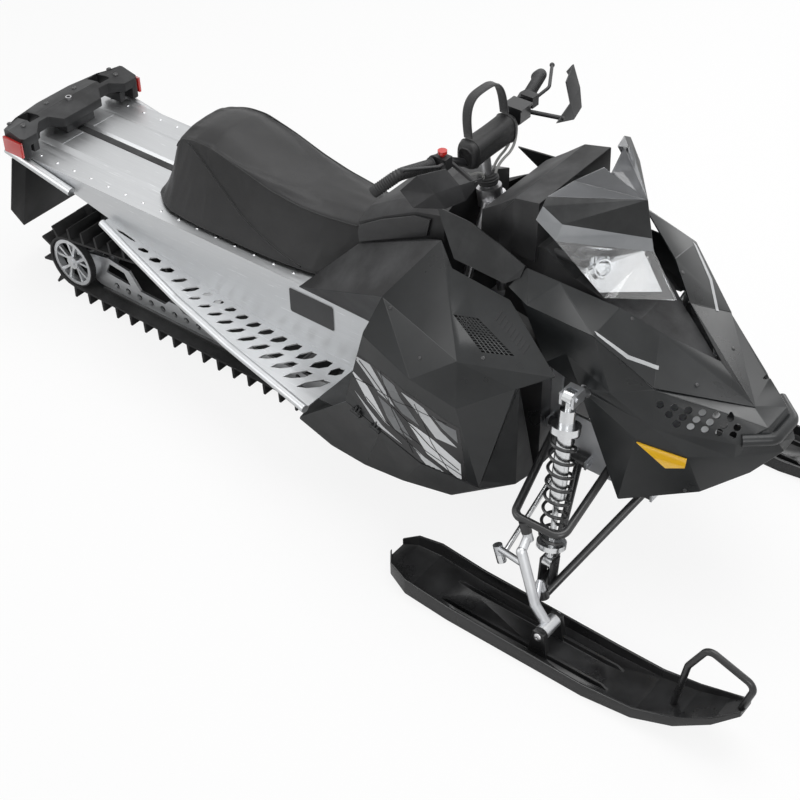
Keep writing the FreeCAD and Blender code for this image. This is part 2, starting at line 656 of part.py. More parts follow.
def pod_panel(name):
    """One panel of the headlamp pod; its neighbours give the rims that they share."""
    others = [loop for key, loops in POD.items() if key != name for loop in loops + mirror_facets(loops)]
    return facet_shell(POD[name] + mirror_facets(POD[name]), PANEL, POD_CORE, others)


def headlamps():
    """Faceted reflector pans behind the lenses, with a projector barrel in each."""
    left = [("glow_mid", "glow_tip", "glow_deep"), ("glow_tip", "glow_low", "glow_deep"),
            ("glow_low", "glow_side", "glow_deep"), ("glow_side", "glow_mid", "glow_deep")]
    pan = facet_shell(left + mirror_facets(left), 3, (-260, 0, 900))
    x, y, z = CORNERS["glow_deep"]
    barrels = []
    for s in (-1, 1):
        a = (x - 6, s * (y - 3), z - 2)
        b = (x + 16, s * (y + 13), z + 8)
        barrels.append(rod(a, b, 24).cut(rod((x + 4, s * (y + 5), z + 3), (x + 30, s * (y + 24), z + 15), 20)))
    return fuse([pan] + barrels)


def hood():
    return panel_pair([("lip_a", "wing_a", "wing_b", "lip_b"), ("lip_b", "wing_b", "wing_c", "lip_c"),
                       ("lip_c", "wing_c", "wing_d", "lip_d"), ("lip_d", "wing_d", "wing_e", "lip_e")],
                      PANEL, HOOD_CORE)


# rows of round vents on each flank: first hole x, y, z, last hole x, y, z, number
NOSE_VENTS = [(78, 191, 638, 226, 101, 609, 6), (102, 185, 615, 245, 97, 586, 6), (123, 181, 592, 242, 108, 568, 5)]


def nose_vents():
    a, b, c = [vec(CORNERS[name]) for name in ("under_d", "nose_d", "nose_c")]
    out = (b - a).cross(c - a).normalize()
    holes = []
    for x0, y0, z0, x1, y1, z1, count in NOSE_VENTS:
        for i in range(count):
            middle = vec(along((x0, y0, z0), (x1, y1, z1), i / (count - 1)))
            holes.append(rod(middle - out * 30, middle + out * 30, NOSE_VENT_R))
    return holes


def nose():
    """Vented nose under the hood, down to its keel, with the inner walls of both shock bays."""
    left = [("wall_b", "under_c", "flank_s"), ("under_c", "flank_t", "flank_s"), ("under_c", "under_d", "flank_t"),
            ("wall_b", "flank_s", "wall_r"), ("flank_s", "nose_a", "wall_r"),
            ("flank_s", "flank_t", "nose_b", "nose_a"), ("flank_t", "under_d", "nose_b"),
            ("nose_b", "under_d", "nose_c"), ("under_d", "under_e", "nose_e", "nose_d", "nose_c"),
            ("nose_a", "nose_b", "nose_c", "nose_f"), ("nose_c", "nose_d", "nose_h", "nose_g", "nose_f"),
            ("nose_a", "nose_f", "keel_a"), ("nose_f", "nose_g", "keel_b", "keel_a"),
            ("nose_g", "nose_h", "keel_c", "keel_b"), ("nose_h", "nose_d", "nose_e", "keel_d", "keel_c")]
    middle = [("nose_e", "under_e", "nose_e'"), ("nose_e", "nose_e'", "keel_d'", "keel_d"),
              ("keel_b", "keel_c", "keel_c'", "keel_b'"), ("keel_c", "keel_d", "keel_d'", "keel_c'")]
    shell = panel_pair(left, PANEL, (100, 0, 520), middle)
    x, y, z = SHOCK_TOP
    ways = [rod((x, s * 100, z - 92), (x, s * 330, z + 8), 13 + SEAM) for s in (-1, 1)]
    vents = nose_vents()
    return shell.cut(ways + vents + [mirrored(hole) for hole in vents])


# corners of the mesh vent in the left door's upper facet
VENT_WINDOW = [(-452, 322, 752), (-392, 303, 756), (-262, 328, 715), (-340, 356.5, 708)]
VENT_COLUMNS = 7
VENT_ROWS = 14


def between(a, b, s):
    return vec(a) + (vec(b) - vec(a)) * s


def lath(a, b, out, half):
    """Square bar from a to b; out is the way that one of its faces looks."""
    side = (b - a).cross(out).normalize() * half
    rise = out * half
    return face_of([a - side - rise, a + side - rise, a + side + rise, a - side + rise]).extrude(b - a)


def side_vent():
    """Cutter of the vent's window, and its crossed bars, which lie below the panel's face."""
    rear, inner, front, outer = [vec(p) for p in VENT_WINDOW]
    out = (inner - outer).cross(rear - front).normalize()
    if out.z < 0:
        out = out * -1
    flat = [p - out * (p - rear).dot(out) for p in (rear, inner, front, outer)]
    window = face_of([p - out * 25 for p in flat]).extrude(out * 50)
    bars = []
    rear, inner, front, outer = flat
    lengthwise = (rear, inner, outer, front, VENT_COLUMNS)
    crosswise = (rear, outer, inner, front, VENT_ROWS)
    for (a, b, c, d, count), sink in ((lengthwise, GRILLE_BAR_R), (crosswise, 2.2 * GRILLE_BAR_R)):
        for i in range(1, count):
            p, q = between(a, b, i / count), between(c, d, i / count)
            reach = (q - p).normalize() * PANEL - out * sink
            reach_back = (p - q).normalize() * PANEL - out * sink
            bars.append(lath(p + reach_back, q + reach, out, GRILLE_BAR_R))
    return window, bars


def side_panels():
    """Doors over the engine bay: faceted skin, mesh vent and hinge knuckles."""
    left = facet_shell([("latch", "waist_a", "waist_b"), ("latch", "waist_b", "dip"), ("dip", "waist_b", "inset"),
                        ("inset", "waist_b", "tip"), ("dip", "inset", "crest"), ("inset", "tip", "crest"),
                        ("waist_b", "waist_c", "tip"), ("waist_a", "art_a", "art_b", "waist_b"),
                        ("waist_b", "art_b", "art_c"), ("waist_b", "art_c", "waist_c"),
                        ("art_a", "sill_a", "sill_b", "art_b"), ("art_b", "sill_b", "sill_c", "art_c"),
                        ("art_c", "sill_c", "sill_d"), ("art_c", "sill_d", "waist_c")], PANEL, SIDE_CORE)
    window, bars = side_vent()
    left = fuse([left.cut(window)] + bars + door_knuckles())
    return left, mirrored(left)


def door_hinge(x, ahead=0.0):
    """Point on the left door's hinge line at that x, moved ahead along the line."""
    span = DOOR_HINGE_FRONT[0] - DOOR_HINGE_REAR[0]
    s = (x - DOOR_HINGE_REAR[0]) / span
    length = (vec(DOOR_HINGE_FRONT) - vec(DOOR_HINGE_REAR)).Length
    return along(DOOR_HINGE_REAR, DOOR_HINGE_FRONT, s + ahead / length)


def hinge_web(x, ahead, dy, dz, radius):
    """Short stud from the hinge line to the wall that carries it."""
    a = door_hinge(x, ahead)
    slope = (DOOR_HINGE_REAR[2] - DOOR_HINGE_FRONT[2]) / (DOOR_HINGE_FRONT[0] - DOOR_HINGE_REAR[0])
    return rod(a, (a[0] + slope * dz, a[1] + dy, a[2] + dz), radius)


def door_knuckles():
    shapes = []
    for x in HINGE_X:
        barrel = ring(door_hinge(x, -KNUCKLE_HALF), door_hinge(x, KNUCKLE_HALF), KNUCKLE_R, HINGE_PIN_R + CLEAR)
        pin = rod(door_hinge(x, -20), door_hinge(x, 20), HINGE_PIN_R + CLEAR)
        webs = [hinge_web(x, step, -9, 18, 3.5).cut(pin) for step in (-5, 5)]
        shapes.extend([barrel] + webs)
    return shapes


def pan_knuckles():
    shapes = []
    reach = KNUCKLE_HALF + 7
    for x in HINGE_X:
        shapes.append(rod(door_hinge(x, -reach), door_hinge(x, reach), HINGE_PIN_R))
        for side in (-1, 1):
            shapes.append(rod(door_hinge(x, side * (KNUCKLE_HALF + CLEAR)), door_hinge(x, side * reach), KNUCKLE_R))
            shapes.append(hinge_web(x, side * (KNUCKLE_HALF + 3.7), -12, -14, 2.8))
    return shapes


def belly_pan():
    """Open tub below the side panels, with cheeks that close the body in front, and the toe plates."""
    left = [("rim_a", "belly_b", "belly_a"), ("rim_a", "belly_g", "belly_b"), ("rim_a", "rim_b", "belly_g"),
            ("rim_b", "belly_c", "belly_g"), ("rim_b", "rim_c", "belly_c"),
            ("rim_c", "belly_d", "belly_c"), ("rim_c", "rim_d", "belly_d"), ("rim_d", "belly_e", "belly_d"),
            ("rim_d", "post_d", "belly_e"), ("post_d", "post_a", "cheek", "belly_e"), ("belly_e", "cheek", "floor_e"),
            ("belly_a", "belly_b", "floor_b", "floor_a"), ("belly_b", "belly_g", "floor_b"),
            ("belly_g", "belly_c", "floor_c", "floor_b"),
            ("belly_c", "floor_m", "floor_c"), ("belly_c", "belly_d", "floor_m"),
            ("belly_d", "belly_e", "floor_e", "floor_m")]
    pan = panel_pair(left, PANEL, (-560, 0, 420), [("floor_m", "floor_e", "floor_e'", "floor_m'")])
    x, y, z = CORNERS["floor_b"]
    brackets = both_sides(box(x - 30, x + 30, HALF_TUNNEL + CLEAR, y + 12, z - 16, FOOT_Z - CLEAR))
    knuckles = pan_knuckles()
    pan = fuse([pan] + brackets + knuckles + [mirrored(shape) for shape in knuckles])
    return Part.makeCompound([pan] + both_sides(footwell()))


def side_arms():
    """Long slats from the console down to the hood's rear corners."""
    outline = [(-612, 180, 935), (-501, 190, 938), (-392, 215, 929), (-304, 234, 914), (-310, 244, 882),
               (-350, 252, 852), (-525, 224, 836)]
    for i, corner in enumerate(outline):
        CORNERS["arm_%d" % i] = corner
    names = ["arm_%d" % i for i in range(len(outline))]
    arm = facet_shell([(names[6], names[0], names[1]), (names[6], names[1], names[2]), (names[6], names[2], names[5]),
                       (names[5], names[2], names[3], names[4])], PANEL, (-450, 0, 700))
    return arm, mirrored(arm)


# housing under the shield and the floor of the gap between pod and hood:
# x, half width below, half width above, z below, z above
COWL_ROWS = [(-420, 150, 120, 700, 880), (-290, 170, 168, 700, 936), (-215, 160, 138, 700, 858),
             (-130, 120, 110, 690, 802), (-60, 92, 86, 665, 770), (-4, 66, 60, 640, 735), (122, 10, 8, 600, 666)]
# dash behind the shield
DASH_ROWS = [(-500, 146, 142, 872, 952), (-440, 156, 150, 872, 996), (-392, 160, 156, 872, 1034),
             (-318, 168, 160, 880, 1050)]


def ladder_loft(rows):
    """Loft along X through upright four-sided sections, in one straight-sided piece for each step."""
    sections = [[(x, -w0, z0), (x, w0, z0), (x, w1, z1), (x, -w1, z1)] for x, w0, w1, z0, z1 in rows]
    return fuse([loft_sections(pair) for pair in zip(sections, sections[1:])])


def inner_cowl():
    """Dark closed housing under the shield, behind the lamps, with the dash on top."""
    housing = ladder_loft(COWL_ROWS).fuse(ladder_loft(DASH_ROWS))
    ways = [rod((-200, s * 126, 585), (-545, s * 30, 890), 13 + CLEAR) for s in (-1, 1)]
    ways += [rod((-450, s * 30, 794), (-450, s * 240, 890), 9 + CLEAR) for s in (-1, 1)]
    stays = [rod((-292, s * 140, 915), (-150, s * 140, 915), 10) for s in (-1, 1)]
    held = housing.fuse(stays).cut(ways + [headlamps(), pod_panel("lamp_lenses"), pod_panel("cowl_face")])
    return max(held.Solids, key=lambda solid: solid.Volume)


# console sections: x, shoulder z
CONSOLE_ROWS = [(-905, 752), (-819, 804), (-710, 861), (-614, 885)]
CONSOLE_HALF = 145.0
PAD_OUTLINE = [(-912, 722), (-899, 746), (-819, 797), (-710, 852), (-655, 862), (-667, 806), (-859, 712), (-900, 692)]


def console():
    """Tank cover between seat and bars, with the knee panels and toe walls beside it."""
    z0 = TUNNEL_TOP_Z + TUNNEL_STEP + CLEAR
    w = CONSOLE_HALF
    sections = [[(x, -w, z0), (x, w, z0), (x, w, z), (x, 0.62 * w, z + 24), (x, -0.62 * w, z + 24), (x, -w, z)]
                for x, z in CONSOLE_ROWS]
    cover = fuse([loft_sections(pair) for pair in zip(sections, sections[1:])])
    left = [("knee_a", "knee_b", "knee_f"), ("knee_a", "knee_f", "knee_d"), ("knee_b", "knee_c", "knee_e", "knee_f"),
            ("knee_d", "knee_f", "toe_a", "toe_b"), ("toe_b", "toe_a", "toe_c")]
    knee = facet_shell(left, PANEL, (-760, 0, 560))
    return Part.makeCompound([cover] + both_sides(knee))


def knee_pads():
    """Soft pads on the console's flanks, where the rider's knees press."""
    y = CONSOLE_HALF + CLEAR
    outline = [(max(x, CONSOLE_ROWS[0][0] + 2), z) for x, z in PAD_OUTLINE]
    outer = prism_y(outline, y, y + 7)
    return Part.makeCompound(both_sides(outer))


def seat():
    """Saddle with a high tail and skirts over the tunnel's shoulders."""
    z0 = TUNNEL_TOP_Z + TUNNEL_STEP + CLEAR
    rows = [(-1690, 120, 70, 560, 585), (-1610, 165, 105, 745, 775), (-1470, 178, 118, 765, 798),
            (-1250, 176, 118, 705, 735), (-1060, 160, 104, 688, 712), (-912, 118, 78, 690, 722)]
    sections = [[(x, -w, z0), (x, w, z0), (x, crest, shoulder), (x, crest * 0.55, crown), (x, -crest * 0.55, crown),
                 (x, -crest, shoulder)] for x, w, crest, shoulder, crown in rows]
    return loft_sections(sections)


def engine():
    return box(TUNNEL_FRONT_X + CLEAR, BULKHEAD_REAR_X, -185, 185, 240, 604)


BULKHEAD_REAR_X = -268.0
BULKHEAD_Y = 138.0
EYE_R = 14.0
EYE_HALF = 22.0
PIVOT_BOLT_R = 6.0


def bulkhead():
    """Forged frame that carries the arms: two windowed plates, cross walls and the arm brackets."""
    y = BULKHEAD_Y
    foot_x = LOWER_PIVOTS[0][0] - EYE_HALF - CLEAR - 6
    outline = [(BULKHEAD_REAR_X, 345), (foot_x, 345), (foot_x, 262), (60, 262), (72, 330), (72, 470), (20, 560),
               (-180, 600), (BULKHEAD_REAR_X, 560)]
    window_rear = [(-236, 430), (-120, 430), (-150, 560), (-236, 540)]
    window_front = [(-80, 430), (40, 430), (40, 470), (-10, 545), (-80, 545)]
    windows = [prism_y(w, y - 20, y + 20) for w in (window_rear, window_front)]
    plate = prism_y(outline, y - 8, y).cut(windows)
    cross = [box(64, 72, -y, y, 330, 470), box(foot_x, 60, -y, y, 262, 268), box(-180, -172, -y, y, 520, 590)]
    ears = []
    bolts = []
    for x, z in UPPER_PIVOTS + LOWER_PIVOTS:
        for s in (-1, 1):
            near = x + s * (EYE_HALF + CLEAR)
            far = near + s * 6
            ears.append(box(min(near, far), max(near, far), y - 4, PIVOT_Y + 12, z - 13, z + 13))
        bolts.append(rod((x - EYE_HALF - 8, PIVOT_Y, z), (x + EYE_HALF + 8, PIVOT_Y, z), PIVOT_BOLT_R))
    x, y_top, z_top = SHOCK_TOP
    arm = rod((x, y - 4, z_top - 78), (x, y_top - 24, z_top - 8), 13)
    yoke = box(x - SHOCK_EYE_HALF - 8, x + SHOCK_EYE_HALF + 8, y_top - 36, y_top - 20, z_top - 22, z_top + 14)
    for s in (-1, 1):
        near = x + s * (SHOCK_EYE_HALF + CLEAR)
        far = x + s * (SHOCK_EYE_HALF + 8)
        ears.append(box(min(near, far), max(near, far), y_top - 36, y_top + 14, z_top - 22, z_top + 14))
    bolts.append(shock_eye(SHOCK_TOP, PIVOT_BOLT_R, SHOCK_EYE_HALF + 12))
    side = [plate, arm, yoke] + ears + bolts
    frame = fuse(side + [mirrored(shape) for shape in side] + cross)
    # bolted seams between the rear and the front plates
    return frame.cut(both_sides(box(foot_x - 2 * CLEAR, foot_x, y - 12, y + 2, 340, 605)))


def nose_stay():
    """Cross tube from the bulkhead to both flanks of the nose, and the hood's props."""
    tube = rod((40, -260, 540), (40, 260, 540), 9)
    props = [rod((40, s * 170, 540), (0, s * 170, 800), 8) for s in (-1, 1)]
    inside = fuse([tube] + props).cut([nose(), bulkhead(), hood()])
    return [solid for solid in inside.Solids if solid.BoundBox.ZMin < 545 and abs(solid.CenterOfMass.y) < 205]


def post_at(z):
    """Point of the steering axis at height z."""
    s = (z - POST_LOW[2]) / (POST_TOP[2] - POST_LOW[2])
    return along(POST_LOW, POST_TOP, s)


def frame_tubes():
    """Pyramid of tubes that carries the steering post's head."""
    shapes = []
    for s in (-1, 1):
        shapes.append(rod((-200, s * 126, 585), (-545, s * 30, 890), 13))
        shapes.append(rod((-584, s * 150, TUNNEL_TOP_Z + TUNNEL_STEP + CLEAR), (-562, s * 30, 890), 13))
        shapes.append(rod((-450, s * 56, 806), (-450, s * 240, 890), 9))
    collar = rod(post_at(868), post_at(918), 34)
    cuts = [rod(post_at(600), post_at(1000), POST_R + CLEAR), bulkhead()] + list(side_arms())
    frame = fuse(shapes + [collar]).cut(cuts)
    return max(frame.Solids, key=lambda solid: solid.Volume)


def steering_post():
    return rod(POST_LOW, POST_TOP, POST_R)


def head(x, y, z):
    """Point given from the head of the steering post."""
    return (POST_TOP[0] + x, y, POST_TOP[2] + z)


def bar_line(stretch=0.0):
    """Left half of the handlebar's middle line, from near the post out to its hooked end."""
    return [head(6, 95, 17), head(0, BAR_HALF - 190, 54), head(-36, BAR_HALF - 44, 74),
            head(-80 - stretch, BAR_HALF + stretch, 30 - stretch)]


def handlebar(radius=BAR_R):
    left = bar_line()
    return bent_tube([(x, -y, z) for x, y, z in reversed(left)] + left, radius, 30)


def grips():
    start, rise, bend, end = bar_line(stretch=5)
    first = along(rise, bend, 0.30)
    grip = bent_tube([first, bend, end], GRIP_R, 30)
    core = bent_tube(bar_line()[1:], BAR_R + CLEAR, 30)
    return Part.makeCompound(both_sides(grip.cut(core)))


PAD_OUTLINE_XZ = [(-26, 0), (-26, 52), (-9, 80), (26, 80), (46, 52), (42, 4), (18, -8)]
PAD_HALF = 100.0
STRAP_HALF = 68.0
STRAP_RISE = 178.0
STRAP_FOOT = 62.0


def bar_pad():
    pad = prism_y([(POST_TOP[0] + x, POST_TOP[2] + z) for x, z in PAD_OUTLINE_XZ], -PAD_HALF, PAD_HALF)
    post = rod(post_at(POST_TOP[2] - 60), post_at(POST_TOP[2] + CLEAR), POST_R + CLEAR)
    return pad.cut([handlebar(BAR_R + CLEAR), post])


def grab_strap():
    """Hoop of webbing over the bar pad."""
    foot = STRAP_HALF + 12
    line = bent_wire([head(8, -foot, STRAP_FOOT), head(-9, -STRAP_HALF, STRAP_RISE), head(-9, STRAP_HALF, STRAP_RISE),
                      head(8, foot, STRAP_FOOT)], 56)
    corners = [head(x, y - foot, STRAP_FOOT) for x, y in ((-6, -3), (22, -3), (22, 3), (-6, 3), (-6, -3))]
    strap = line.makePipeShell([Part.makePolygon([vec(c) for c in corners])], True, False)
    top = PAD_OUTLINE_XZ[2][1] + CLEAR
    (x0, y0, z0), (x1, y1, z1) = head(-140, -200, 0), head(160, 200, top)
    return strap.cut(box(x0, x1, y0, y1, z0, z1))


# hand guard corners: x from the post's head, distance inside the bar's half width, z from the head
GUARD = {"guard_0": (114, 192, 48), "guard_1": (100, 108, 63), "guard_2": (72, 90, 108), "guard_3": (44, 14, 116),
         "guard_4": (10, -10, 74), "guard_5": (48, -8, 38), "guard_6": (100, 52, 24), "guard_7": (116, 112, 22),
         "guard_8": (80, 34, 70)}
for key, (cx, inside, cz) in GUARD.items():
    CORNERS[key] = head(cx, BAR_HALF - inside, cz)


def hand_guards():
    """Wind deflectors ahead of the grips, each on a stay from the bar."""
    g = ["guard_%d" % i for i in range(len(GUARD))]
    facets = [(g[0], g[1], g[7]), (g[1], g[6], g[7]), (g[1], g[8], g[6]), (g[1], g[2], g[8]),
              (g[2], g[3], g[8]), (g[3], g[4], g[8]), (g[8], g[4], g[5]), (g[8], g[5], g[6])]
    guard = facet_shell(facets, PANEL, head(-134, 200, 62))
    middle = (vec(CORNERS[g[0]]) + vec(CORNERS[g[1]]) + vec(CORNERS[g[7]])) * (1 / 3)
    root = between(*bar_line()[:2], 0.90)
    stay = rod(root, between(root, between(CORNERS[g[0]], middle, 0.6), 1.02), 6)
    side = fuse([guard, stay.cut(handlebar(BAR_R + CLEAR))])
    return Part.makeCompound(both_sides(max(side.Solids, key=lambda solid: solid.Volume)))


def controls():
    """Switch housings and levers, one of each clamped to either side of the bar."""
    start, rise, bend, end = bar_line()
    inner, outer = along(rise, bend, 0.10), along(rise, bend, 0.28)
    housing = rod(inner, outer, 23)
    x, y, z = along(inner, outer, 0.5)
    body = box(x - 4, x + 34, y - 14, y + 14, z - 6, z + 26)
    tip = (x - 6, y + 132, z + 44)
    lever = bent_tube([(x + 22, y, z + 8), (x + 40, y + 52, z + 30), tip], 4.5, 18)
    side = fuse([housing, body, lever, Part.makeSphere(7, vec(tip))]).cut(handlebar(BAR_R + CLEAR))
    return Part.makeCompound(both_sides(side))


def kill_button():
    """Mushroom button on top of the right switch housing."""
    start, rise, bend, end = bar_line()
    x, y, z = along(rise, bend, 0.19)
    stem = rod((x + 14, -y, z + 26 + CLEAR), (x + 14, -y, z + 34), 6)
    return stem.fuse(rod((x + 14, -y, z + 34), (x + 14, -y, z + 42), 12))


def master_cylinder():
    """Brake fluid block with its lid, inboard of the left switch housing."""
    start, rise, bend, end = bar_line()
    x, y, z = along(start, rise, 0.62)
    clamp = rod(along(start, rise, 0.42), along(start, rise, 0.80), 19)
    block = box(x - 16, x + 36, y - 32, y + 14, z + 4, z + 40)
    lid = box(x - 20, x + 40, y - 34, y + 17, z + 40, z + 46)
    return fuse([clamp, block, lid]).cut([handlebar(BAR_R + CLEAR), bar_pad()])


BOOT_ENDS = (-89.0, -60.0)      # below the post's head
BOOT_R = 30.0
CABLE_R = 3.6


def cable_routes():
    """Middle lines of the cables: from bar fittings down to the boot on the post."""
    z = BOOT_ENDS[1] - 6
    foot = post_at(POST_TOP[2] + z)[0] - POST_TOP[0]
    return [[head(10, 138, 38), head(14, 98, -20), head(foot + 4, 28, -36), head(foot, 22, z)],
            [head(14, 122, 26), head(28, 108, -24), head(foot + 18, 14, -36), head(foot + 18, 8, z)],
            [head(4, -148, 38), head(14, -100, -20), head(foot + 6, -26, -36), head(foot + 4, -22, z)]]


def cables():
    """Brake, throttle and switch cables with the boot that gathers them on the steering post."""
    lines = [bent_tube(route, CABLE_R, 20) for route in cable_routes()]
    low, high = [post_at(POST_TOP[2] + z) for z in BOOT_ENDS]
    boot = ring(low, high, BOOT_R, POST_R)
    post = rod(post_at(POST_TOP[2] - 160), post_at(POST_TOP[2]), POST_R)
    return fuse([boot] + lines).cut([handlebar(BAR_R + CLEAR), bar_pad(), master_cylinder(), post])


# ---------------------------------------------------------------- front suspension
def king(s):
    """Point on the kingpin axis, 0 at the lower ball and 1 at the upper."""
    return along(KING_LOW, KING_TOP, s)


def arm_eyes(pivots):
    return [rod((x - EYE_HALF, PIVOT_Y, z), (x + EYE_HALF, PIVOT_Y, z), EYE_R) for x, z in pivots]


def arm_bores(pivots):
    return [rod((x - 2 * EYE_HALF, PIVOT_Y, z), (x + 2 * EYE_HALF, PIVOT_Y, z), PIVOT_BOLT_R + CLEAR) for x, z in pivots]


def upper_arm():
    """Hoop of tube that passes round the spring unit, with the upper ball's knuckle."""
    (rear_x, rear_z), (front_x, front_z) = UPPER_PIVOTS
    y, z = KING_TOP[1] - 4, KING_TOP[2] + 34
    hoop = bent_tube([(rear_x, PIVOT_Y, rear_z), (UPPER_HOOP_X[0], y, z), (UPPER_HOOP_X[1], y, z),
                      (front_x, PIVOT_Y, front_z)], ARM_TUBE_R, 28)
    knuckle = rod(king(1.0 + BALL_GAP), king(1.19), 14)
    return fuse([hoop, knuckle] + arm_eyes(UPPER_PIVOTS)).cut(arm_bores(UPPER_PIVOTS))


def lower_arm():
    """Two legs that meet under the lower ball, with a plate between them for the spring unit."""
    tip = king(-0.085)
    end = (tip[0] + 2, tip[1] - 10, tip[2])
    legs = [rod((x, PIVOT_Y, z), end, ARM_TUBE_R) for x, z in LOWER_PIVOTS]
    knuckle = rod(king(-BALL_GAP), king(-0.13), 15)
    x, y, z = SHOCK_LOW
    ears = []
    for s in (-1, 1):
        near = x + s * (SHOCK_EYE_HALF + CLEAR)
        far = x + s * (SHOCK_EYE_HALF + 6)
        plate = prism_x([(y - 22, z + 14), (y - 14, z - 62), (y + 24, z - 72), (y + 16, z + 14)], min(near, far), max(near, far))
        ears.append(plate)
    base = prism_x([(y - 14, z - 62), (y + 24, z - 72), (y + 23, z - 62), (y - 15, z - 52)], x - SHOCK_EYE_HALF - 6, x + SHOCK_EYE_HALF + 6)
    bolt = shock_eye(SHOCK_LOW, PIVOT_BOLT_R, SHOCK_EYE_HALF + 10)
    return fuse(legs + [knuckle, base, bolt] + ears + arm_eyes(LOWER_PIVOTS)).cut(arm_bores(LOWER_PIVOTS))


def along(a, b, s):
    return tuple(p + (q - p) * s for p, q in zip(a, b))


def shock_at(s):
    """Point on the spring unit's axis, 0 at its lower eye and 1 at its upper."""
    return along(SHOCK_LOW, SHOCK_TOP, s)


def shock_eye(p, radius, half):
    """Cylinder across the spring unit's end, along X."""
    return rod((p[0] - half, p[1], p[2]), (p[0] + half, p[1], p[2]), radius)


def shock():
    """Gas damper with its two spring seats and end eyes."""
    body = rod(shock_at(0.40), shock_at(0.93), SHOCK_BODY_R)
    piston = rod(SHOCK_LOW, shock_at(0.5), 8)
    seats = [rod(shock_at(s0), shock_at(s1), SPRING_R + 2) for s0, s1 in (SEAT_LOW, SEAT_TOP)]
    top = rod(shock_at(0.9), SHOCK_TOP, 9)
    eyes = [shock_eye(p, 17, SHOCK_EYE_HALF) for p in (SHOCK_LOW, SHOCK_TOP)]
    bores = [shock_eye(p, PIVOT_BOLT_R + CLEAR, 60) for p in (SHOCK_LOW, SHOCK_TOP)]
    return fuse([body, piston, top] + seats + eyes).cut(bores)


def spring():
    """Coil with a six-sided wire."""
    a, b = shock_at(SEAT_LOW[1]), shock_at(SEAT_TOP[0])
    axis = vec(b) - vec(a)
    length = axis.Length - 2 * SPRING_WIRE_R - 2 * CLEAR
    r = SPRING_R - SPRING_WIRE_R
    pitch = length / SPRING_TURNS
    helix = Part.makeHelix(pitch, length, r)
    angles = [math.pi * i / 3 for i in range(6)]
    wire = [V(r + SPRING_WIRE_R * math.cos(t), 0, SPRING_WIRE_R * math.sin(t)) for t in angles]
    profile = Part.makePolygon(wire + [wire[0]])
    coil = Part.Wire(helix).makePipeShell([profile], True, True)
    turn = FreeCAD.Rotation(V(0, 0, 1), axis)
    coil.Placement = FreeCAD.Placement(vec(a) + axis.normalize() * (SPRING_WIRE_R + CLEAR), turn)
    return coil


def spindle():
    """Forged leg from the upper ball down to the ski's saddle, with its steering arm."""
    foot = (0, SKI_STANCE / 2, SKI_PIVOT_Z)
    shoulder = (-104, 500, 268)
    knee = (-40, 524, 134)
    bosses = [rod(king(0.86), king(1.0), 13), rod(king(0.0), king(0.15), 12)]
    legs = [rod(king(0.93), shoulder, 12), rod(shoulder, knee, 14), rod(knee, foot, 14), rod(king(0.16), knee, 9)]
    joints = [Part.makeSphere(14, vec(p)) for p in (shoulder, knee)]
    arm = [rod((-84, 505, 232), tie_at(32), 9), rod(tie_at(TIE_LIFT), tie_at(42), 13)]
    half = SKI_SADDLE_HALF - 1.0
    hub = rod((0, foot[1] - half, foot[2]), (0, foot[1] + half, foot[2]), 20)
    bore = rod((0, foot[1] - 2 * half, foot[2]), (0, foot[1] + 2 * half, foot[2]), SKI_PIVOT_R + CLEAR)
    return fuse(bosses + legs + joints + arm + [hub]).cut(bore)


def tie_at(reach):
    """Point at that distance above the tie rod's eye, along the kingpin's direction."""
    length = (vec(KING_TOP) - vec(KING_LOW)).Length
    return tuple(p + (top - low) * reach / length for p, top, low in zip(TIE_OUT, KING_TOP, KING_LOW))


def tie_rod():
    """Steering link; its eye lies under the spindle's arm."""
    eye = rod(tie_at(-10), tie_at(TIE_LIFT - CLEAR), 13)
    return fuse([rod(TIE_OUT, TIE_IN, TIE_R), eye])


def ski():
    """Moulded keel with raised walls, rounded tail and upswept tip with its handle loop."""
    y0 = SKI_STANCE / 2
    h = SKI_WIDTH / 2
    # station x, half width, sole height, wall top height
    rows = [(SKI_TAIL_X, 30, 46, 74), (SKI_TAIL_X + 28, 66, 30, 72), (-400, h, 12, 64), (-260, h, 0, 50),
            (160, h, 0, 42), (300, h - 6, 14, 50), (410, h - 18, 52, 84), (500, h - 36, 108, 132), (560, 26, 160, 178)]
    outer, inner = [], []
    for x, w, z0, z1 in rows:
        outer.append([(x, y0 - w, z0), (x, y0 + w, z0), (x, y0 + w, z1), (x, y0 - w, z1)])
        inner.append([(x, y0 - w + SKI_WALL, z0 + SKI_WALL + 2), (x, y0 + w - SKI_WALL, z0 + SKI_WALL + 2),
                      (x, y0 + w - SKI_WALL, z1 + 20), (x, y0 - w + SKI_WALL, z1 + 20)])
    shell = loft_sections(outer).cut(loft_sections(inner))
    ear = [(-30, 6), (30, 6), (17, SKI_PIVOT_Z + 14), (-17, SKI_PIVOT_Z + 14)]
    ribs = [prism_y(ear, y0 + s * (SKI_SADDLE_HALF + 8) - 8, y0 + s * (SKI_SADDLE_HALF + 8) + 8) for s in (-1, 1)]
    for s in (-1, 1):
        y = y0 + s * (SKI_SADDLE_HALF + 8)
        ribs.append(prism_y([(-330, 4), (230, 4), (190, 24), (-290, 24)], y - 4, y + 4))
    pin = rod((0, y0 - SKI_SADDLE_HALF - 14, SKI_PIVOT_Z), (0, y0 + SKI_SADDLE_HALF + 14, SKI_PIVOT_Z), SKI_PIVOT_R)
    return fuse([shell, pin, ski_handle()] + ribs)


def ski_handle():
    y0 = SKI_STANCE / 2
    return bent_tube([(374, y0, 46), (398, y0, 205), (444, y0, 296), (574, y0, 252), (548, y0, 158)], 9, 26)


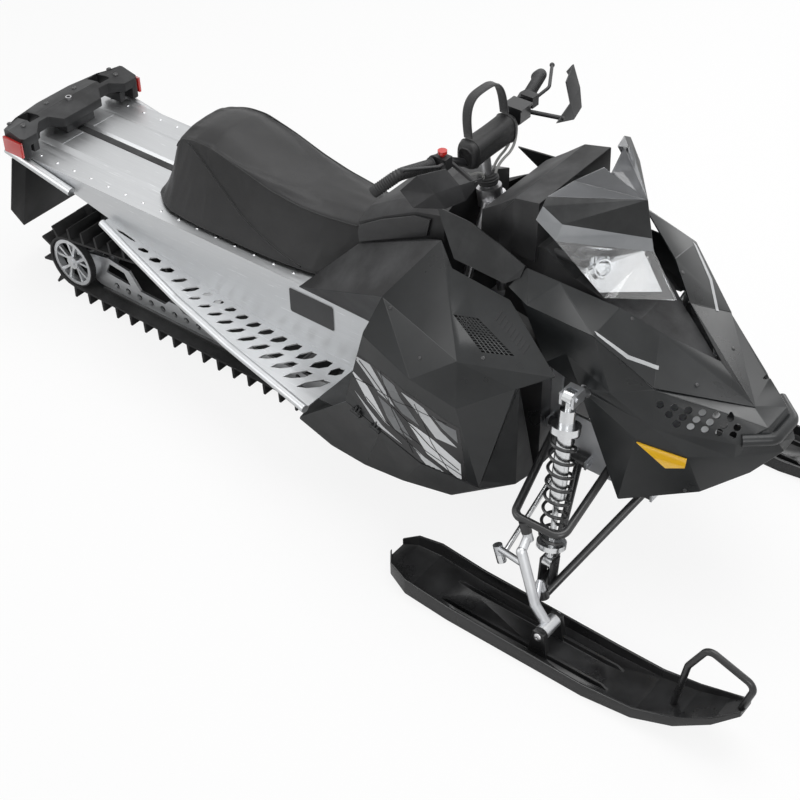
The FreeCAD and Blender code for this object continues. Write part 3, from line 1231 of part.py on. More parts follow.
def footwell():
    """Rear wall of the side bay with the toe hold."""
    x0 = BOARD_FRONT_X + CLEAR
    return box(x0, -748, HALF_TUNNEL + CLEAR, 384, FOOT_Z, FOOT_Z + 4)


def nose_bumper():
    """Tube across the nose's tip."""
    x, y, z = CORNERS["keel_d"]
    z = z + 41
    pts = [(x - 84, -y - 70, z), (x - 20, -y - 16, z), (x - 20, y + 16, z), (x - 84, y + 70, z)]
    return bent_tube(pts, 16, 30)


# amber lens on the left flank, corners from front to rear
AMBER = [(44, 228, 527), (162, 179, 499), (158, 176, 466), (112, 191, 452)]


def reflectors():
    """Lenses on the nose's flanks."""
    a, b, c = [vec(CORNERS[name]) for name in ("nose_f", "nose_g", "keel_b")]
    out = (b - a).cross(c - a).normalize()
    if out.y < 0:
        out = out * -1
    flat = [vec(p) - out * ((vec(p) - a).dot(out) - CLEAR) for p in AMBER]
    return Part.makeCompound(both_sides(face_of(flat).extrude(out * 5).cut(nose())))


# ---------------------------------------------------------------- all pieces
def collect():
    named = {
        "tunnel": tunnel(), "rear_bumper": rear_bumper(), "tow_eye": tow_eye(), "tail_lamps": tail_lamps(),
        "snow_flap": snow_flap(), "track": track(), "slide_rails": slide_rails(), "hyfax": hyfax(),
        "rear_idlers": rear_idlers(), "idler_tyres": idler_tyres(),
        "suspension_arms": suspension_arms(), "drive_axle": drive_axle(),
        "headlamps": headlamps(), "hood": hood(),
        "belly_pan": belly_pan(), "inner_cowl": inner_cowl(), "console": console(), "knee_pads": knee_pads(),
        "seat": seat(), "engine": engine(), "bulkhead": Part.makeCompound([bulkhead()] + nose_stay()),
        "frame_tubes": frame_tubes(), "steering_post": steering_post(), "handlebar": handlebar(),
        "grips": grips(), "bar_pad": bar_pad(), "grab_strap": grab_strap(), "hand_guards": hand_guards(),
        "controls": controls(), "kill_button": kill_button(), "master_cylinder": master_cylinder(), "cables": cables(),
        "reflectors": reflectors(), "nose": fuse([nose(), nose_bumper()]),
        "running_boards": Part.makeCompound(both_sides(running_board()) + both_sides(rear_rail())),
    }
    for name in POD:
        named[name] = pod_panel(name)
    fixed_pairs = {
        "side_arms": side_arms()[0], "upper_arms": upper_arm(), "lower_arms": lower_arm(), "shocks": shock(),
        "springs": spring(),
    }
    for name, left in fixed_pairs.items():
        named[name] = Part.makeCompound(both_sides(left))
    pairs = {"side_panel": side_panels()[0], "spindle": spindle(), "tie_rod": tie_rod(), "ski": ski()}
    for name, left in pairs.items():
        named[name + "_left"] = left
        named[name + "_right"] = mirrored(left)
    return named


def write_all():
    os.makedirs("parts", exist_ok=True)
    named = collect()
    whole = FreeCAD.BoundBox()
    for shape in named.values():
        whole.add(shape.BoundBox)
    shift = V(-(whole.XMin + whole.XMax) / 2, -(whole.YMin + whole.YMax) / 2, -whole.ZMin)
    for name, shape in named.items():
        shape.translate(shift)
        shape.exportStep("parts/" + name + ".step")
    print("box", round(whole.XLength, 1), round(whole.YLength, 1), round(whole.ZLength, 1))
    print("shift", [round(v, 2) for v in shift])
    bad = [name for name, shape in named.items() if not shape.isValid()]
    print("not valid:", bad)
    for name, shape in named.items():
        print("%-22s solids %2d volume %8.1f cm3" % (name, len(shape.Solids), shape.Volume / 1000))


write_all()
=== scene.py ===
# %% [markdown]
# # A mountain snowmobile, dressed for a studio picture
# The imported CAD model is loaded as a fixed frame, and this file gives it its looks: materials made of
# nodes, rounded edges, a sewn seat and bar pad, stitching, printed films, bolts and cables.
# Every length is in metres. X points forward, Y to the rider's left and Z up.

import json
import math

import bmesh
import bpy
import numpy as np
from mathutils import Matrix, Vector
from mathutils.bvhtree import BVHTree


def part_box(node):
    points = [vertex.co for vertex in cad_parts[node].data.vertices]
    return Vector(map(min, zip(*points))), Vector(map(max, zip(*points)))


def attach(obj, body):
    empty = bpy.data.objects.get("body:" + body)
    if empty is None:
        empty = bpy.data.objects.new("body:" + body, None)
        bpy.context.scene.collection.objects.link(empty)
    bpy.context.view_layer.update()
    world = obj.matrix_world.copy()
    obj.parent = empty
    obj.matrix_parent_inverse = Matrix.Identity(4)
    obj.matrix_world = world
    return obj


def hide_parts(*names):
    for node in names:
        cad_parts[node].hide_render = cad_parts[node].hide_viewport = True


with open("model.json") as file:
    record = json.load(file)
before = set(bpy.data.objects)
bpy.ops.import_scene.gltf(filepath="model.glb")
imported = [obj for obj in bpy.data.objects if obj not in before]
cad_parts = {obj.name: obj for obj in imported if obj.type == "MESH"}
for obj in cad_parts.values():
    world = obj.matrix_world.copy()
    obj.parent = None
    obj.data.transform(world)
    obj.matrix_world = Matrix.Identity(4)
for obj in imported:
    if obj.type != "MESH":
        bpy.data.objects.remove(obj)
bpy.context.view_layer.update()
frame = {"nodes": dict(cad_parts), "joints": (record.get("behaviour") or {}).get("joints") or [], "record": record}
NODES = frame["nodes"]
JOINT_AT = {joint["name"]: joint["pos_m"] for joint in frame["joints"]}
PIVOT_X = JOINT_AT["left_ski_pitch"][0]      # the skis' pivots: the vehicle's own zero along X
SIDES = (("left", 1), ("right", -1))         # each side's name and its sign along Y


def low_high(name):
    """Low and high corner of a CAD node's box."""
    return [np.array(corner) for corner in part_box(name)]


def add_object(name, data):
    """Object of some data, at the origin."""
    piece = bpy.data.objects.new(name, data)
    bpy.context.scene.collection.objects.link(piece)
    return piece


def set_axes(piece, right, up, back, place):
    """Stand an object at a place, with its X, Y and Z axes along three unit vectors."""
    matrix = np.eye(4)
    matrix[:3] = np.stack([right, up, back, place], axis=1)
    piece.matrix_world = Matrix(matrix.tolist())


# %% [markdown]
# ## Camera
# A camera needs a place, a direction and a lens. The picture is taken from the right front, a little above
# the handlebar, with a lens of about 74 mm on a 36 mm wide sensor. Its place is given from the ski pivots,
# so it follows the model if the frame's origin moves. Azimuth turns about Z, elevation looks down, and a
# small roll levels the ground.

# %% Camera
AZIMUTH, ELEVATION, ROLL = (math.radians(angle) for angle in (51.0945, 40.3379, -1.2563))
CAMERA_FROM_PIVOTS = (1.48442, -2.94316, 3.24108)
LENS_PER_SENSOR = 2.0456875
SENSOR_MM = 36.0
CLIP_RANGE = (0.1, 60.0)


def camera_axes(azimuth, elevation, roll):
    """Right, up and forward unit vectors of a camera, from two angles and a roll."""
    flat = math.cos(elevation)
    right = np.array([math.sin(azimuth), math.cos(azimuth), 0.0])
    forward = np.array([-math.cos(azimuth) * flat, math.sin(azimuth) * flat, -math.sin(elevation)])
    up = np.cross(right, forward)
    turned_right = right * math.cos(roll) + up * math.sin(roll)
    turned_up = up * math.cos(roll) - right * math.sin(roll)
    return turned_right, turned_up, forward


def add_camera():
    right, up, forward = camera_axes(AZIMUTH, ELEVATION, ROLL)
    data = bpy.data.cameras.new("studio_camera")
    data.sensor_width = SENSOR_MM
    data.lens = SENSOR_MM * LENS_PER_SENSOR
    data.clip_start, data.clip_end = CLIP_RANGE
    camera = add_object("studio_camera", data)
    set_axes(camera, right, up, -forward, np.array(CAMERA_FROM_PIVOTS) + (PIVOT_X, 0, 0))
    bpy.context.scene.camera = camera
    return camera


camera = add_camera()
print("camera at", [round(v, 3) for v in camera.location], "lens", round(camera.data.lens, 1), "mm")

# %% [markdown]
# ## Surfaces from numpy
# Most new pieces here are one of two things: a grid of points worked out from two parameters, or a small
# profile carried along a path. Both are computed as whole arrays, and both end in the same mesh maker.

# %% Mesh makers
def mesh_piece(name, points, faces, smooth=True):
    """Object at the origin from an (n, 3) array of points and a list of faces."""
    mesh = bpy.data.meshes.new(name)
    mesh.from_pydata(np.asarray(points, float).tolist(), [], [list(map(int, face)) for face in faces])
    mesh.validate()
    mesh.polygons.foreach_set("use_smooth", np.full(len(mesh.polygons), smooth))
    return add_object(name, mesh)


def grid_faces(rows, columns, wrap_rows=False, wrap_columns=False):
    """Quads of a grid of points numbered row by row; wrapping joins the last row or column to the first."""
    i = np.arange(rows if wrap_rows else rows - 1)[:, None]
    j = np.arange(columns if wrap_columns else columns - 1)[None, :]
    a = i * columns + j
    b = i * columns + (j + 1) % columns
    c = (i + 1) % rows * columns + (j + 1) % columns
    d = (i + 1) % rows * columns + j
    return np.stack([a, b, c, d], axis=-1).reshape(-1, 4)


def along_path(path, profile, side=(0.0, 0.0, 1.0)):
    """Points of a profile carried along a path.

    At each path point the profile's first axis is the path's tangent crossed with side, and its second
    axis completes the square, so the profile stays upright while the path turns.
    """
    path = np.asarray(path, float)
    profile = np.asarray(profile, float)
    tangent = np.gradient(path, axis=0)
    tangent /= np.linalg.norm(tangent, axis=1)[:, None]
    first = np.cross(tangent, np.asarray(side, float))
    first /= np.linalg.norm(first, axis=1)[:, None]
    second = np.cross(first, tangent)
    offset = profile[None, :, :1] * first[:, None, :] + profile[None, :, 1:] * second[:, None, :]
    return path[:, None, :] + offset


def circle(radius, count):
    """Points round a circle, counter-clockwise."""
    angle = np.arange(count) * 2 * math.pi / count
    return np.stack([np.cos(angle), np.sin(angle)], axis=1) * radius


def tube(name, path, radius, side, count=8):
    """Closed round tube along a path, with a point at each end's middle to cap it."""
    rings = along_path(path, circle(radius, count), side)
    points = np.concatenate([rings.reshape(-1, 3), [path[0]], [path[-1]]])
    faces = grid_faces(len(rings), count, wrap_columns=True)[:, ::-1].tolist()
    last = (len(rings) - 1) * count
    for a, b in zip(range(count), [*range(1, count), 0]):
        faces += [[last + count, a, b], [last + count + 1, last + b, last + a]]
    return mesh_piece(name, points, faces)


def lofted(name, rings, turned=True):
    """Piece through rings of points, (rings, points, 3), with a flat face over each end.

    Turned reverses the side faces; the ends stay as they are.
    """
    rows, count = rings.shape[:2]
    faces = grid_faces(rows, count, wrap_columns=True)
    if turned:
        faces = faces[:, ::-1]
    ends = [list(range(count)), list(range((rows - 1) * count, rows * count))[::-1]]
    return mesh_piece(name, rings.reshape(-1, 3), faces.tolist() + ends)


print("mesh makers: grid, tube, lofted")

# %% [markdown]
# ## Cables
# Three cables run from the bar's fittings down to a rubber boot on the steering post. A sprung cable takes
# a smooth line by itself, so each is a NURBS curve of order three through a few control points, with a
# round bevel. Each ends in its fitting and in the boot.

# %% Cables from the bar to the boot
POST_HEAD = np.array([PIVOT_X - 0.596, 0.0, 1.01315])
POST_LEAN = np.array([0.068, 0.0, -0.403])
BOOT_TOP, BOOT_FOOT = -0.060, -0.089
CABLE_D = 0.0072


def post_point(z):
    """Point of the steering post's axis at a height relative to the post's head."""
    return POST_HEAD + POST_LEAN * (z / POST_LEAN[2])


BOOT_AT = post_point(-0.066) - POST_HEAD
CABLE_ROUTES = {
    "brake_cable": [(0.010, 0.138, 0.038), (0.014, 0.098, -0.020), (BOOT_AT[0] + 0.004, 0.028, -0.036),
                    (BOOT_AT[0], 0.022, -0.066)],
    "choke_cable": [(0.014, 0.122, 0.026), (0.028, 0.108, -0.024), (BOOT_AT[0] + 0.018, 0.014, -0.036),
                    (BOOT_AT[0] + 0.018, 0.008, -0.066)],
    "throttle_cable": [(0.004, -0.148, 0.038), (0.014, -0.100, -0.020), (BOOT_AT[0] + 0.006, -0.026, -0.036),
                       (BOOT_AT[0] + 0.004, -0.022, -0.066)],
}


def add_cable(name, route):
    """Order-three NURBS curve from the route's points, with a round bevel."""
    data = bpy.data.curves.new(name, "CURVE")
    data.dimensions = "3D"
    data.bevel_depth = 1.0      # times each point's radius
    data.bevel_resolution = 5
    data.resolution_u = 24
    data.use_fill_caps = True
    spline = data.splines.new("NURBS")
    points = np.array(route) + POST_HEAD
    spline.points.add(len(points) - 1)
    spline.points.foreach_set("co", np.concatenate([points, np.ones((len(points), 1))], axis=1).ravel())
    spline.points.foreach_set("radius", np.full(len(points), CABLE_D / 2))
    spline.order_u = 3
    spline.use_endpoint_u = True
    piece = add_object(name, data)
    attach(piece, "steering")
    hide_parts("cables")
    return piece, points


def curve_length(piece):
    """Length of the curve's own line, read from it with no bevel."""
    depth = piece.data.bevel_depth
    piece.data.bevel_depth = 0.0
    line = bpy.data.meshes.new_from_object(piece.evaluated_get(bpy.context.evaluated_depsgraph_get()))
    piece.data.bevel_depth = depth
    places = np.empty(len(line.vertices) * 3)
    line.vertices.foreach_get("co", places)
    bpy.data.meshes.remove(line)
    return float(np.linalg.norm(np.diff(places.reshape(-1, 3), axis=0), axis=1).sum())


CABLES = []
for cable_name, route in CABLE_ROUTES.items():
    cable, points = add_cable(cable_name, route)
    length = curve_length(cable)
    CABLES.append(cable)
    print(cable_name, round(length, 3), "m")

# %% [markdown]
# ## Node helpers
# A material is a tree of nodes. Three helpers keep the trees short to write: one makes a node with its values
# and incoming links, one maps a range of values onto another, and one starts a material.

# %% Nodes, ranges and new materials
def node(tree, kind, values=None, links=None, **settings):
    """New node with its settings, socket values and incoming links; a link is (node, output name)."""
    made = tree.nodes.new("ShaderNode" + kind)
    for key, value in settings.items():
        setattr(made, key, value)
    for key, value in (values or {}).items():
        made.inputs[key].default_value = value
    for key, (source, output) in (links or {}).items():
        tree.links.new(source.outputs[output], made.inputs[key])
    return made


def spread(tree, source, output, low, high, to_low, to_high):
    """Map Range node that turns low..high of a value into to_low..to_high, clamped."""
    values = {"From Min": low, "From Max": high, "To Min": to_low, "To Max": to_high}
    return node(tree, "MapRange", values, {"Value": (source, output)})


def start_finish(name, **sockets):
    """Material with its Principled shader; sockets are given with underscores for spaces."""
    material = bpy.data.materials.new(name)
    material.use_nodes = True
    tree = material.node_tree
    shader = tree.nodes["Principled BSDF"]
    for key, value in sockets.items():
        shader.inputs[key.replace("_", " ")].default_value = value
    return material, tree, shader, node(tree, "TexCoord")


print("node helpers ready")

# %% [markdown]
# ## Studio
# The floor is pale and catches a soft shadow. The world is white where the camera, a mirror or glass looks
# at it, and dimmer as a light, so that colours come out about as they are written. Four large area lamps
# give long soft highlights on the dark panels.

# %% World, floor and lamps
FLOOR_HALF = 14.0
FLOOR_GLOW = 0.86       # share of the floor's brightness, for the camera, that no lamp changes
WORLD_LIGHT = 0.36
LAMPS = {
    # place, target, size in X and Y, power in watts
    "overhead": ((0.2, 0.6, 4.2), (0.0, 0.0, 0.4), (4.5, 3.0), 125),
    "front_right": ((4.2, -3.2, 2.6), (0.6, 0.0, 0.5), (2.5, 2.0), 62),
    "rear_right": ((-3.4, -3.6, 2.8), (-0.6, 0.0, 0.4), (2.5, 2.0), 45),
    "left_edge": ((1.0, 4.5, 2.2), (0.2, 0.0, 0.5), (3.0, 1.5), 42),
}


def add_world():
    """White where a camera, mirror or pane looks at it, and dimmer as a light."""
    world = bpy.data.worlds.new("studio")
    world.use_nodes = True
    tree = world.node_tree
    rays = node(tree, "LightPath")
    share = (rays, "Is Camera Ray")
    for ray in ("Is Glossy Ray", "Is Transmission Ray"):
        share = (node(tree, "Math", links={0: share, 1: (rays, ray)}, operation="MAXIMUM"), "Value")
    strength = node(tree, "MapRange", {"To Min": WORLD_LIGHT, "To Max": 1.0}, {"Value": share})
    background = tree.nodes["Background"]
    background.inputs["Color"].default_value = (1, 1, 1, 1)
    tree.links.new(strength.outputs[0], background.inputs["Strength"])
    bpy.context.scene.world = world


def add_floor():
    """Pale paper that takes a soft shadow."""
    square = np.array([(-1, -1, 0), (1, -1, 0), (1, 1, 0), (-1, 1, 0)]) * FLOOR_HALF
    floor = mesh_piece("floor", square, [(0, 1, 2, 3)], smooth=False)
    material, tree, shader = start_finish("floor_paper", Base_Color=(0.9, 0.9, 0.9, 1), Roughness=0.95,
                                          Specular_IOR_Level=0.1)[:3]
    rays = node(tree, "LightPath")
    share = node(tree, "Math", {1: FLOOR_GLOW}, {0: (rays, "Is Camera Ray")}, operation="MULTIPLY")
    glow = node(tree, "Emission", {"Strength": 1.0})
    mix = node(tree, "MixShader", links={"Fac": (share, "Value"), 1: (shader, "BSDF"), 2: (glow, "Emission")})
    tree.links.new(mix.outputs[0], tree.nodes["Material Output"].inputs["Surface"])
    floor.data.materials.append(material)


def add_lamp(name, place, target, size, watts):
    """Area lamp at a place, turned to face a target point."""
    data = bpy.data.lights.new(name, "AREA")
    data.shape = "RECTANGLE"
    data.size, data.size_y = size
    data.energy = watts
    lamp = add_object(name, data)
    back = np.array(place, float) - np.array(target, float)
    back /= np.linalg.norm(back)
    across = np.cross((0, 0, 1), back)
    across /= np.linalg.norm(across)
    set_axes(lamp, across, np.cross(back, across), back, place)


add_world()
add_floor()
for lamp_name, (place, target, size, watts) in LAMPS.items():
    add_lamp(lamp_name, place, target, size, watts)
bpy.context.scene.view_settings.view_transform = "Standard"
print("lamps:", ", ".join(LAMPS))

# %% [markdown]
# ## Effects that several finishes share
# A real moulding has a fine grain, a rolled sheet has lines along its rolling direction, and everything has
# slightly uneven gloss from handling and wiped-off dust. Each effect is a node group that puts out a value,
# so a material can use it for its colour, its roughness or its bump with amounts of its own.

# %% Node groups
def new_group(name, inputs, outputs):
    """Shader group that takes a vector and the inputs (None for a vector), and puts out plain values."""
    group = bpy.data.node_groups.new(name, "ShaderNodeTree")
    for label, default in {"Vector": None, **inputs}.items():
        kind = "NodeSocketVector" if default is None else "NodeSocketFloat"
        socket = group.interface.new_socket(label, in_out="INPUT", socket_type=kind)
        if default is not None:
            socket.default_value = default
    for label in outputs:
        group.interface.new_socket(label, in_out="OUTPUT", socket_type="NodeSocketFloat")
    group.nodes.new("NodeGroupInput").name = "in"
    group.nodes.new("NodeGroupOutput").name = "out"
    return group


def finish_group(group, results):
    """Join each (node, output) to the group's output socket of that name."""
    for label, (source, output) in results.items():
        group.links.new(source.outputs[output], group.nodes["out"].inputs[label])


print("group helpers ready")

# %% [markdown]
# ### Grain, rolled lines, dust and hide
# Each group reads the coordinates it is given, so one group serves many materials.

# %% The four groups
def make_grain():
    """Fine moulded grain: small noise for the bump and a slower one that makes it uneven."""
    group = new_group("moulded_grain", {"Scale": 900.0}, ("Height", "Patch"))
    source = group.nodes["in"]
    vector = (source, "Vector")
    fine = node(group, "TexNoise", {"Detail": 2.0, "Roughness": 0.6},
                {"Vector": vector, "Scale": (source, "Scale")})
    slow = node(group, "TexNoise", {"Scale": 7.0, "Detail": 4.0, "Roughness": 0.55}, {"Vector": vector})
    patch = spread(group, slow, "Fac", 0.3, 0.7, 0.0, 1.0)
    finish_group(group, {"Height": (fine, "Fac"), "Patch": (patch, "Result")})
    return group


def make_brush():
    """Rolled or drawn metal: noise stretched along X, with a few deeper scratches."""
    group = new_group("rolled_lines", {"Fineness": 220.0}, ("Lines", "Scratches"))
    source = group.nodes["in"]
    vector = (source, "Vector")
    long = node(group, "Mapping", {"Scale": (0.02, 1.0, 1.0)}, {"Vector": vector})
    lines = node(group, "TexNoise", {"Detail": 3.0, "Roughness": 0.7},
                 {"Vector": (long, "Vector"), "Scale": (source, "Fineness")})
    wild = node(group, "Mapping", {"Scale": (0.6, 9.0, 9.0), "Rotation": (0.0, 0.25, 0.1)},
                {"Vector": vector})
    thin = node(group, "TexNoise", {"Scale": 26.0, "Detail": 2.0, "Distortion": 0.4},
                {"Vector": (wild, "Vector")})
    scratches = spread(group, thin, "Fac", 0.66, 0.74, 0.0, 1.0)
    finish_group(group, {"Lines": (lines, "Fac"), "Scratches": (scratches, "Result")})
    return group


def make_dust():
    """Dry residue that lies in patches, more of it on faces that look up."""
    group = new_group("settled_dust", {"Normal": None}, ("Mask",))
    source = group.nodes["in"]
    cloud = node(group, "TexNoise", {"Scale": 5.5, "Detail": 6.0, "Roughness": 0.62},
                 {"Vector": (source, "Vector")})
    patch = spread(group, cloud, "Fac", 0.42, 0.72, 0.0, 1.0)
    parts = node(group, "SeparateXYZ", links={"Vector": (source, "Normal")})
    upward = spread(group, parts, "Z", -0.2, 1.0, 0.15, 1.0)
    mask = node(group, "Math", links={0: (patch, "Result"), 1: (upward, "Result")}, operation="MULTIPLY")
    finish_group(group, {"Mask": (mask, "Value")})
    return group


def make_cells():
    """Hide grain: rounded cells, and slow creases."""
    group = new_group("hide_cells", {"Scale": 420.0}, ("Height", "Crease"))
    source = group.nodes["in"]
    vector = (source, "Vector")
    cells = node(group, "TexVoronoi", {"Randomness": 0.9}, {"Vector": vector, "Scale": (source, "Scale")},
                 feature="DISTANCE_TO_EDGE")
    height = spread(group, cells, "Distance", 0.0, 0.12, 0.0, 1.0)
    slow = node(group, "TexNoise", {"Scale": 16.0, "Detail": 4.0}, {"Vector": vector})
    crease = spread(group, slow, "Fac", 0.45, 0.75, 0.0, 1.0)
    finish_group(group, {"Height": (height, "Result"), "Crease": (crease, "Result")})
    return group


GRAIN, BRUSH, DUST, CELLS = make_grain(), make_brush(), make_dust(), make_cells()
print("groups:", ", ".join(group.name for group in (GRAIN, BRUSH, DUST, CELLS)))

# %% [markdown]
# ## A finish is built in one place
# Every material here starts the same way: a Principled shader, Object coordinates, and a colour that
# drifts a little between a darker and a lighter shade. What differs is which group drives the roughness and
# the bump. Numbers that are the same all over are set on the shader's own sockets.

# %% Finish builder
MIX_FIRST, MIX_SECOND, MIX_RESULT = 6, 7, 2     # colour sockets of Blender's Mix node, which share names


def use_group(tree, group, place, values=None, links=None):
    """Instance of a group that reads Object coordinates."""
    made = tree.nodes.new("ShaderNodeGroup")
    made.node_tree = group
    for key, value in (values or {}).items():
        made.inputs[key].default_value = value
    tree.links.new(place.outputs["Object"], made.inputs["Vector"])
    for key, (source, output) in (links or {}).items():
        tree.links.new(source.outputs[output], made.inputs[key])
    return made


def blend_colour(tree, mask, output, first, second):
    """Mix of two colours by a mask; each colour is an RGB triple or a (node, output) pair."""
    mix = node(tree, "Mix", data_type="RGBA")
    tree.links.new(mask.outputs[output], mix.inputs["Factor"])
    for index, colour in ((MIX_FIRST, first), (MIX_SECOND, second)):
        if isinstance(colour[0], float):
            mix.inputs[index].default_value = (*colour, 1.0)
        else:
            tree.links.new(colour[0].outputs[colour[1]], mix.inputs[index])
    return mix


def add_bump(tree, shader, source, output, height, strength=1.0):
    """Bump node of that height in metres, after any bump the shader already has."""
    bump = node(tree, "Bump", {"Distance": height, "Strength": strength}, {"Height": (source, output)})
    before = shader.inputs["Normal"].links
    if before:
        tree.links.new(before[0].from_socket, bump.inputs["Normal"])
    tree.links.new(bump.outputs["Normal"], shader.inputs["Normal"])


def dusted(tree, place, base, amount, dust_colour):
    """Colour node under a little settled dust."""
    settled = use_group(tree, DUST, place, links={"Normal": (place, "Normal")})
    share = node(tree, "Math", {1: amount}, {0: (settled, "Mask")}, operation="MULTIPLY")
    return blend_colour(tree, share, "Value", (base, MIX_RESULT), dust_colour)


def set_surface(tree, shader, colour, mask, output, roughness, low=0.0, high=1.0):
    """Colour of a node, and a roughness between two values as the mask goes from low to high."""
    tree.links.new(colour.outputs[MIX_RESULT], shader.inputs["Base Color"])
    gloss = spread(tree, mask, output, low, high, *roughness)
    tree.links.new(gloss.outputs[0], shader.inputs["Roughness"])


print("finish helpers ready")

# %% [markdown]
# ### Three kinds of finish
# Moulded plastic, rolled metal and cast metal differ in what makes their bump and in how their gloss varies.

# %% Moulded, rolled and cast
def moulded(name, dark, light, roughness, height, scale=900.0, dust=0.12, dust_colour=(0.42, 0.43, 0.44),
            **sockets):
    """Moulded plastic or rubber: grain in the bump, patches in gloss, and a little dust on top."""
    material, tree, shader, place = start_finish(name, **sockets)
    grain = use_group(tree, GRAIN, place, {"Scale": scale})
    base = blend_colour(tree, grain, "Patch", dark, light)
    colour = dusted(tree, place, base, dust, dust_colour)
    set_surface(tree, shader, colour, grain, "Patch", roughness)
    add_bump(tree, shader, grain, "Height", height)
    return material


def rolled(name, dark, light, roughness, fineness=220.0, height=0.00004):
    """Rolled, drawn or turned metal: fine lines along X, with a few brighter scratches."""
    material, tree, shader, place = start_finish(name, Metallic=1.0)
    lines = use_group(tree, BRUSH, place, {"Fineness": fineness})
    base = blend_colour(tree, lines, "Lines", dark, light)
    bright = tuple(min(1.0, 1.12 * v) for v in light)
    colour = blend_colour(tree, lines, "Scratches", (base, MIX_RESULT), bright)
    set_surface(tree, shader, colour, lines, "Lines", roughness, 0.25, 0.75)
    add_bump(tree, shader, lines, "Lines", height)
    return material


def cast(name, dark, light, roughness, height=0.00012, scale=420.0):
    """Cast or forged metal: a sandy surface with cloudy gloss."""
    material, tree, shader, place = start_finish(name, Metallic=1.0)
    grain = use_group(tree, GRAIN, place, {"Scale": scale})
    base = blend_colour(tree, grain, "Patch", dark, light)
    set_surface(tree, shader, base, grain, "Patch", roughness)
    add_bump(tree, shader, grain, "Height", height)
    return material


print("finish makers: moulded, rolled, cast")

# %% [markdown]
# ## Finishes of the plastics, rubbers and metals
# The body is moulded dark plastic with a satin surface that shows long grey reflections. The lower pan and
# the guards are matt and grained. The tunnel is bright rolled aluminium. Arms are painted steel, and the
# spindles are forged.

# %% Finishes
BLACK, DEEP = (0.007, 0.007, 0.0075), (0.013, 0.013, 0.014)
FILM = ((0.22, 0.34), 0.00001, 900.0, 0.05)
# darker colour, lighter colour, roughness range, then grain height, grain scale, dust and dust colour
PLASTICS = {
    "body_plastic": ((0.009, 0.010, 0.0105), (0.015, 0.0165, 0.0175), (0.26, 0.36), 0.00002, 1400.0, 0.03),
    "black_plastic": (BLACK, DEEP, (0.42, 0.58), 0.00009),
    "lower_plastic": ((0.008, 0.0085, 0.009), (0.014, 0.015, 0.0155), (0.40, 0.54), 0.00007),
    "cover_grey": ((0.20, 0.21, 0.22), (0.26, 0.27, 0.28), (0.16, 0.26), 0.00002, 1400.0, 0.04),
    "red_lens": ((0.42, 0.008, 0.006), (0.55, 0.02, 0.012), (0.12, 0.22), 0.00001, 300.0, 0.02),
    "amber": ((0.80, 0.42, 0.01), (0.95, 0.56, 0.02), (0.14, 0.24), 0.00001, 300.0, 0.02),
    "track_rubber": ((0.010, 0.010, 0.0105), (0.02, 0.02, 0.0205), (0.62, 0.8), 0.00016, 500.0, 0.14,
                     (0.30, 0.30, 0.30)),
    "soft_rubber": ((0.009, 0.009, 0.0095), (0.015, 0.015, 0.0155), (0.5, 0.66), 0.00010, 700.0),
    "ski_plastic": (BLACK, (0.013, 0.013, 0.0135), (0.22, 0.36), 0.00005, 800.0, 0.06),
    "glide_plastic": ((0.02, 0.02, 0.02), (0.03, 0.03, 0.03), (0.35, 0.5), 0.00004),
    "black_metal": ((0.010, 0.010, 0.011), (0.018, 0.018, 0.019), (0.26, 0.4), 0.00004, 700.0, 0.06),
    "pad_rubber": ((0.010, 0.010, 0.011), (0.018, 0.018, 0.019), (0.45, 0.62), 0.00012, 500.0),
    "thread": ((0.05, 0.05, 0.052), (0.09, 0.09, 0.092), (0.6, 0.8), 0.00005, 2500.0),
    "cable_grey": ((0.30, 0.30, 0.29), (0.40, 0.40, 0.39), (0.4, 0.55), 0.00004, 900.0),
    "film_silver": ((0.40, 0.41, 0.42), (0.56, 0.57, 0.58), *FILM),
    "film_pale": ((0.58, 0.59, 0.60), (0.70, 0.71, 0.72), *FILM),
    "film_grey": ((0.11, 0.115, 0.12), (0.18, 0.185, 0.19), *FILM),
    "film_black": ((0.006, 0.006, 0.007), (0.012, 0.012, 0.013), (0.2, 0.3), 0.00001, 900.0, 0.04),
    "plate_black": ((0.012, 0.012, 0.013), (0.02, 0.02, 0.021), (0.3, 0.42), 0.00002, 900.0, 0.08),
}
SPECULAR = {"body_plastic": 0.42, "black_plastic": 0.35, "lower_plastic": 0.35, "track_rubber": 0.35,
            "soft_rubber": 0.35, "ski_plastic": 0.45}
# weight and roughness of a clear coat
COAT = {"cover_grey": (0.6, 0.08), "red_lens": (0.8, 0.04), "amber": (0.8, 0.05), "black_metal": (0.3, 0.2)}
METALS = {
    "tunnel_metal": ((0.50, 0.51, 0.52), (0.62, 0.63, 0.64), (0.34, 0.48)),
    "steel": ((0.42, 0.42, 0.43), (0.56, 0.56, 0.57), (0.28, 0.42), 300.0),
    "shock_metal": ((0.62, 0.63, 0.64), (0.76, 0.77, 0.78), (0.16, 0.26), 400.0, 0.00002),
    "lamp": ((0.80, 0.81, 0.82), (0.90, 0.91, 0.92), (0.05, 0.12), 120.0, 0.00001),
}
FINISH = {"forged_metal": cast("forged_metal", (0.50, 0.51, 0.53), (0.66, 0.67, 0.68), (0.30, 0.46))}
for name, row in METALS.items():
    FINISH[name] = rolled(name, *row)
for name, row in PLASTICS.items():
    sockets = {"Specular_IOR_Level": SPECULAR[name]} if name in SPECULAR else {}
    if name in COAT:
        sockets["Coat_Weight"], sockets["Coat_Roughness"] = COAT[name]
    FINISH[name] = moulded(name, *row, **sockets)
print("finishes:", len(FINISH))

# %% [markdown]
# ## Clear and dark plastics
# The shield is smoked plastic that lets a little light through, and the lamp cover is clear. Glass in a
# Principled shader is transmission with a plain roughness; a thin tint comes from the base colour.

